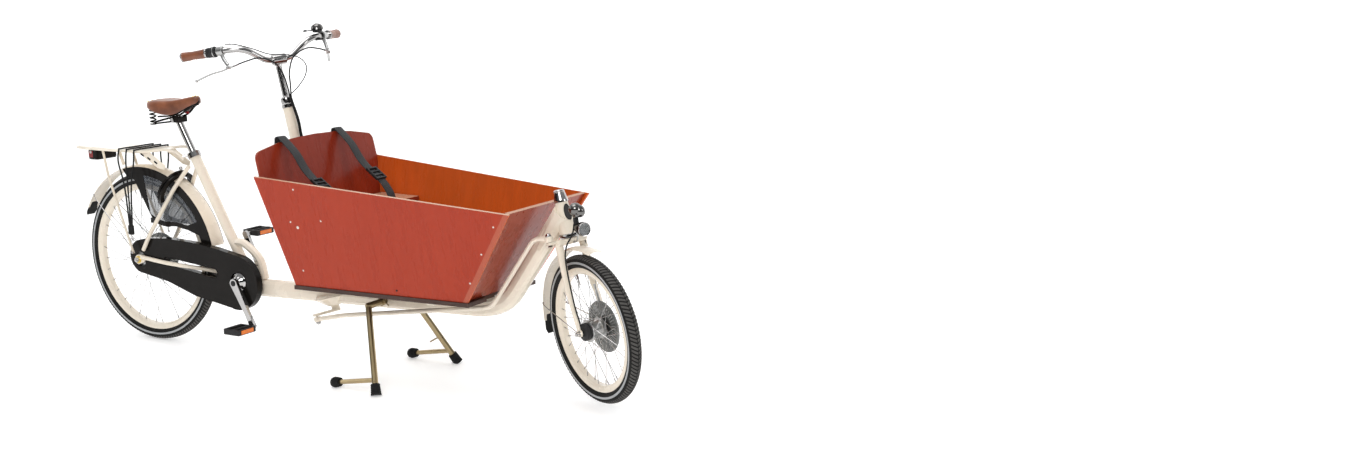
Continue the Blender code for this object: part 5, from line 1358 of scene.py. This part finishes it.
SCREWS = [  # x, z and size of the heads along each side panel
    (0.972, 0.584, 0.0028), (0.998, 0.566, 0.0046), (1.1, 0.596, 0.0028), (0.985, 0.41, 0.0028),
    (1.775, 0.624, 0.0028), (1.715, 0.528, 0.0028), (1.655, 0.424, 0.0028), (1.01, 0.7, 0.0028)]


def box_screws():
    """Heads along the sides, on the floor and on the backrest, and a plug low on each side."""
    shape = Shape("box_screws", "bright_screw", "plastic")
    for side in (-1, 1):
        for x, z, size in SCREWS:
            screw(shape, on_side(side, x, z), size)
        screw(shape, on_side(side, 1.36, 0.372), 0.0034, 1)
    for y in (-0.1, 0.1):
        for x in (1.03, 1.46):
            screw(shape, move(at(x, y, FLOOR_TOP + 0.0002)), 0.0042)
    z = 0.62
    for y in (-0.19, 0.0, 0.19):
        spot = at(back_x(z) - 0.0002, y, z)
        screw(shape, move(spot) @ spin(-math.pi / 2 - 0.224, "Y"), 0.0034)
    shape.done("frame")


def box_brackets():
    """Small brackets inside the box, where the sides meet the front."""
    shape = Shape("box_brackets", "zinc")
    for side in (-1, 1):
        for z in (0.43, 0.6):
            x = front_x(z) - 0.028
            y = side * (side_y(x, z) - 0.0105)
            lean = spin(-side * math.atan(SIDE_LEAN), "X")
            shape.slab((0.024, 0.0018, 0.03), move(at(x - 0.01, y, z)) @ lean, 0, 0.0006)
    shape.done("frame")


def webbing_strap(shape, path, y):
    """Webbing along the (x, z) path, bowed a little across its width."""
    thick, wide, count = 0.0026, 0.038, 64
    across = Vector((0, wide / 2, 0))
    points = flowing([(x, 0, z) for x, z in path], count)
    rings = []
    for i, point in enumerate(points):
        run = (points[min(i + 1, count - 1)] - points[max(i - 1, 0)]).normalized()
        up = Vector((-run.z, 0, run.x)) * thick / 2
        cup = up * 0.7
        ring = [point + up * face + across * u * face + cup * bow
                for face in (1, -1) for u, bow in ((-1, 0), (-0.5, 1), (0, 1.2), (0.5, 1), (1, 0))]
        rings.append([at(p.x, y + p.y, p.z) for p in ring])
    shape.rings(rings)


def ladder_buckle(shape, y):
    """Four bars between two rails, on the strap above the bench."""
    tilt = move(at(1.014, y, 0.6985)) @ spin(0.62, "Y")
    for x in (-0.026, -0.008, 0.01, 0.027):
        shape.slab((0.0065, 0.05, 0.0075), tilt @ move((x, 0, 0.0015)), 1, 0.0018)
    for side in (-1, 1):
        shape.slab((0.062, 0.0065, 0.01), tilt @ move((0, side * 0.023, 0)), 1, 0.002)


def harness():
    """Shoulder straps: webbing over the backrest and down to the bench, with ladder buckles."""
    top_z = 0.8525
    top_x = back_x(top_z)
    path = [(top_x + 0.005, 0.772), (top_x - 0.006, 0.8), (top_x - 0.0055, top_z - 0.006),
            (top_x + 0.004, top_z + 0.0016), (top_x + 0.015, top_z - 0.004), (0.905, 0.802),
            (0.945, 0.748), (0.985, 0.712), (1.02, 0.6915), (1.052, 0.662), (1.074, 0.632),
            (1.083, 0.607)]
    for y, word in ((-0.165, "right"), (0.125, "left")):
        shape = Shape("shoulder_strap_" + word, "webbing", "plastic")
        webbing_strap(shape, path, y)
        ladder_buckle(shape, y)
        start, end = at(0.88, y, 0.8), at(1.07, y, 0.64)
        shape.done("frame", "harness_strap_" + word, slot="grey_webbing",
                   blend=("frame", "bench", tuple(start), tuple(end)))


# ---- stand --------------------------------------------------------------------------------
STAND_X = 1.15  # the stand's hinge, ahead of the rear axle


def front_boot(shape, hinge, ground, run):
    """Ribbed rubber sleeve over the end of a leg."""
    start, end = ground - run * 0.0417, ground - run * 0.004
    length = (end - start).length
    profile = [(0, -length / 2)]
    ribs = 6
    for k in range(ribs):
        z = -length / 2 + length * k / ribs
        base = 0.0162 + 0.0022 * k / ribs
        profile += [(base - 0.0012, z), (base, z + 0.0014), (base, z + 0.0044),
                    (base - 0.0012, z + 0.0056)]
    profile += [(0.0188, length / 2), (0.0188, length / 2 + 0.0008), (0, length / 2 + 0.0008)]
    shape.lathe(profile, move(hinge) @ between(start, end), 28)


def rear_boot(shape, hinge, ground, run):
    """Domed rubber end on the bar that runs back from the leg."""
    bar_start = ground - run * 0.056
    bar_end = Vector((1.095 - STAND_X, bar_start.y, 0.0215 - hinge.z))
    back = (bar_end - bar_start).normalized()
    profile = [(0, 0.019), (0.01, 0.0165), (0.0165, 0.01), (0.0192, 0.0)]
    for k in range(4):
        z = -0.003 - 0.0048 * k
        profile += [(0.0185 - 0.0008 * k, z), (0.0172 - 0.0008 * k, z - 0.0012),
                    (0.0172 - 0.0008 * k, z - 0.003), (0.0181 - 0.0008 * k, z - 0.0042)]
    profile += [(0.015, -0.0217), (0, -0.0217)]
    centre = bar_end + back * 0.022
    shape.lathe(profile, move(hinge + centre) @ aimed(back), 28)


def stand():
    """The CAD's two legs, with rubber boots, pivot bosses and springs."""
    dress("stand", "zinc")
    hinge = pivot("stand_swing")
    for side, word in SIDES:
        top = Vector((0, side * 0.112, 0))
        ground = Vector((1.268 - STAND_X, side * 0.233, -hinge.z))
        run = (ground - top).normalized()
        for end, boot in (("front_", front_boot), ("rear_", rear_boot)):
            shape = Shape("stand_boot_" + end + word, "rubber")
            boot(shape, hinge, ground, run)
            flatten(shape.done("stand", "stand_foot_" + end + word, slot="black_rubber"))
    caps = Shape("stand_pivot_caps", "zinc")
    for side in (-1, 1):
        spring = [(0.01, side * 0.036, 0.004), (0.03, side * 0.04, -0.012)]
        caps.tube(placed(spring, move(hinge)), 0.0022, 8)
        ring = [(0.013, side * 0.033), (0.015, side * 0.034), (0.015, side * 0.044),
                (0.013, side * 0.045), (0.012, side * 0.045), (0.012, side * 0.033)]
        caps.lathe(ring, move(hinge) @ TO_Y, 24, ring=True)
    caps.done("stand", slot="yellow_zinc")


def surface(node):
    """The CAD node's skin, for laying trim on it."""
    return BVHTree.FromObject(frame["nodes"][node], bpy.context.evaluated_depsgraph_get())


def flatten(piece):
    """Presses whatever would sink into the ground flat onto it."""
    for vertex in piece.data.vertices:
        vertex.co.z = max(vertex.co.z, 0.0)


# ---- stage --------------------------------------------------------------------------------
LIGHTS = [  # name, place, size, power
    ("key", (2.6, -4.4, 3.6), 2.4, 112), ("top", (-0.4, -0.6, 5.0), 3.6, 92),
    ("side", (-4.6, -2.6, 2.6), 2.0, 22), ("front", (5.2, 0.4, 2.2), 1.6, 26)]
SKY = [(0.0, 0.03), (0.22, 0.05), (0.42, 0.85), (1.0, 1.0)]  # how far up, and how bright


def glowing(name, tone, roughness, glow, scale, rough):
    """Pale matt paint that gives off a little light."""
    paint = Paint(name, tone, roughness, Emission_Strength=glow)
    paint.set("Emission Color", (1, 1, 1, 1))
    return paint.mottled(scale, 0.01, rough)


def backdrop(name, paint, location, rotation=(0, 0, 0)):
    """A wide flat sheet that belongs to the stage and not to the part."""
    mesh = bpy.data.meshes.new(name)
    form = bmesh.new()
    bmesh.ops.create_grid(form, x_segments=1, y_segments=1, size=30)
    form.to_mesh(mesh)
    form.free()
    mesh.materials.append(paint.material)
    sheet = bpy.data.objects.new(name, mesh)
    sheet.location = location
    sheet.rotation_euler = rotation
    bpy.context.scene.collection.objects.link(sheet)
    return sheet


def sky():
    """Dark below the horizon and bright above it, so that metal has something to reflect."""
    world = bpy.data.worlds.new("studio")
    bpy.context.scene.world = world
    world.use_nodes = True
    tree = world.node_tree
    background = tree.nodes["Background"]
    place = tree.nodes.new("ShaderNodeTexCoord")
    height = tree.nodes.new("ShaderNodeSeparateXYZ")
    bands = tree.nodes.new("ShaderNodeValToRGB")
    tree.links.new(place.outputs["Generated"], height.inputs[0])
    tree.links.new(height.outputs["Z"], bands.inputs[0])
    tree.links.new(bands.outputs["Color"], background.inputs["Color"])
    elements = bands.color_ramp.elements
    while len(elements) < len(SKY):
        elements.new(0.5)
    for element, (spot, tone) in zip(elements, SKY):
        element.position = spot
        element.color = (tone * 0.97, tone * 0.985, tone, 1)
    background.inputs["Strength"].default_value = 0.42


def lights():
    """Four soft round lights aimed at the bike."""
    aim = Vector((0, 0, 0.4))
    for name, place, size, power in LIGHTS:
        lamp = bpy.data.lights.new(name, "AREA")
        lamp.energy = power
        lamp.shape = "DISK"
        lamp.size = size
        light = bpy.data.objects.new(name, lamp)
        light.location = place
        light.rotation_euler = (aim - Vector(place)).to_track_quat("-Z", "Y").to_euler()
        bpy.context.scene.collection.objects.link(light)


def studio():
    """Floor, wall, sky and lights."""
    paint = glowing("pale_floor", (0.93, 0.93, 0.925), 0.55, 0.34, 0.8, (0.5, 0.6))
    floor = backdrop("studio_floor", paint, (0, 0, -0.0005))
    paint = glowing("pale_wall", (0.93, 0.93, 0.93), 0.8, 0.8, 0.5, (0.75, 0.85))
    wall = backdrop("studio_wall", paint, (-4.6, 8.7, 0), (math.pi / 2, 0, math.radians(28)))
    sky()
    lights()
    bpy.context.scene.view_settings.view_transform = "Standard"


def camera():
    """The photograph's viewpoint, fitted to the wheels, the ground contacts and the box corners."""
    right = Vector((0.88282739, 0.46964252, -0.00719057))
    up = Vector((-0.08079272, 0.16691817, 0.98265501))
    back = Vector((0.46269681, -0.86693381, 0.18530363))
    data = bpy.data.cameras.new("camera")
    data.sensor_width = 36.0
    data.lens = 39.46
    data.clip_end = 200
    eye = bpy.data.objects.new("camera", data)
    place = Matrix((right, up, back)).transposed().to_4x4()
    eye.matrix_world = move(at(4.46899, -4.03577, 1.48193)) @ place
    bpy.context.scene.collection.objects.link(eye)
    bpy.context.scene.camera = eye


camera()
wheels()
roller_brakes()
fenders()
coat_guards()
ring_lock()
chain_case()
rack()
binder_straps()
cranks()
pedals()
saddle()
seat_post()
stem_and_bar()
grips()
shifter()
levers()
bells()
bar_cables()
frame_tubes()
head_fittings()
frame_cables()
fork_fittings()
headlamp()
box_panels()
box_screws()
box_brackets()
harness()
stand()
studio()
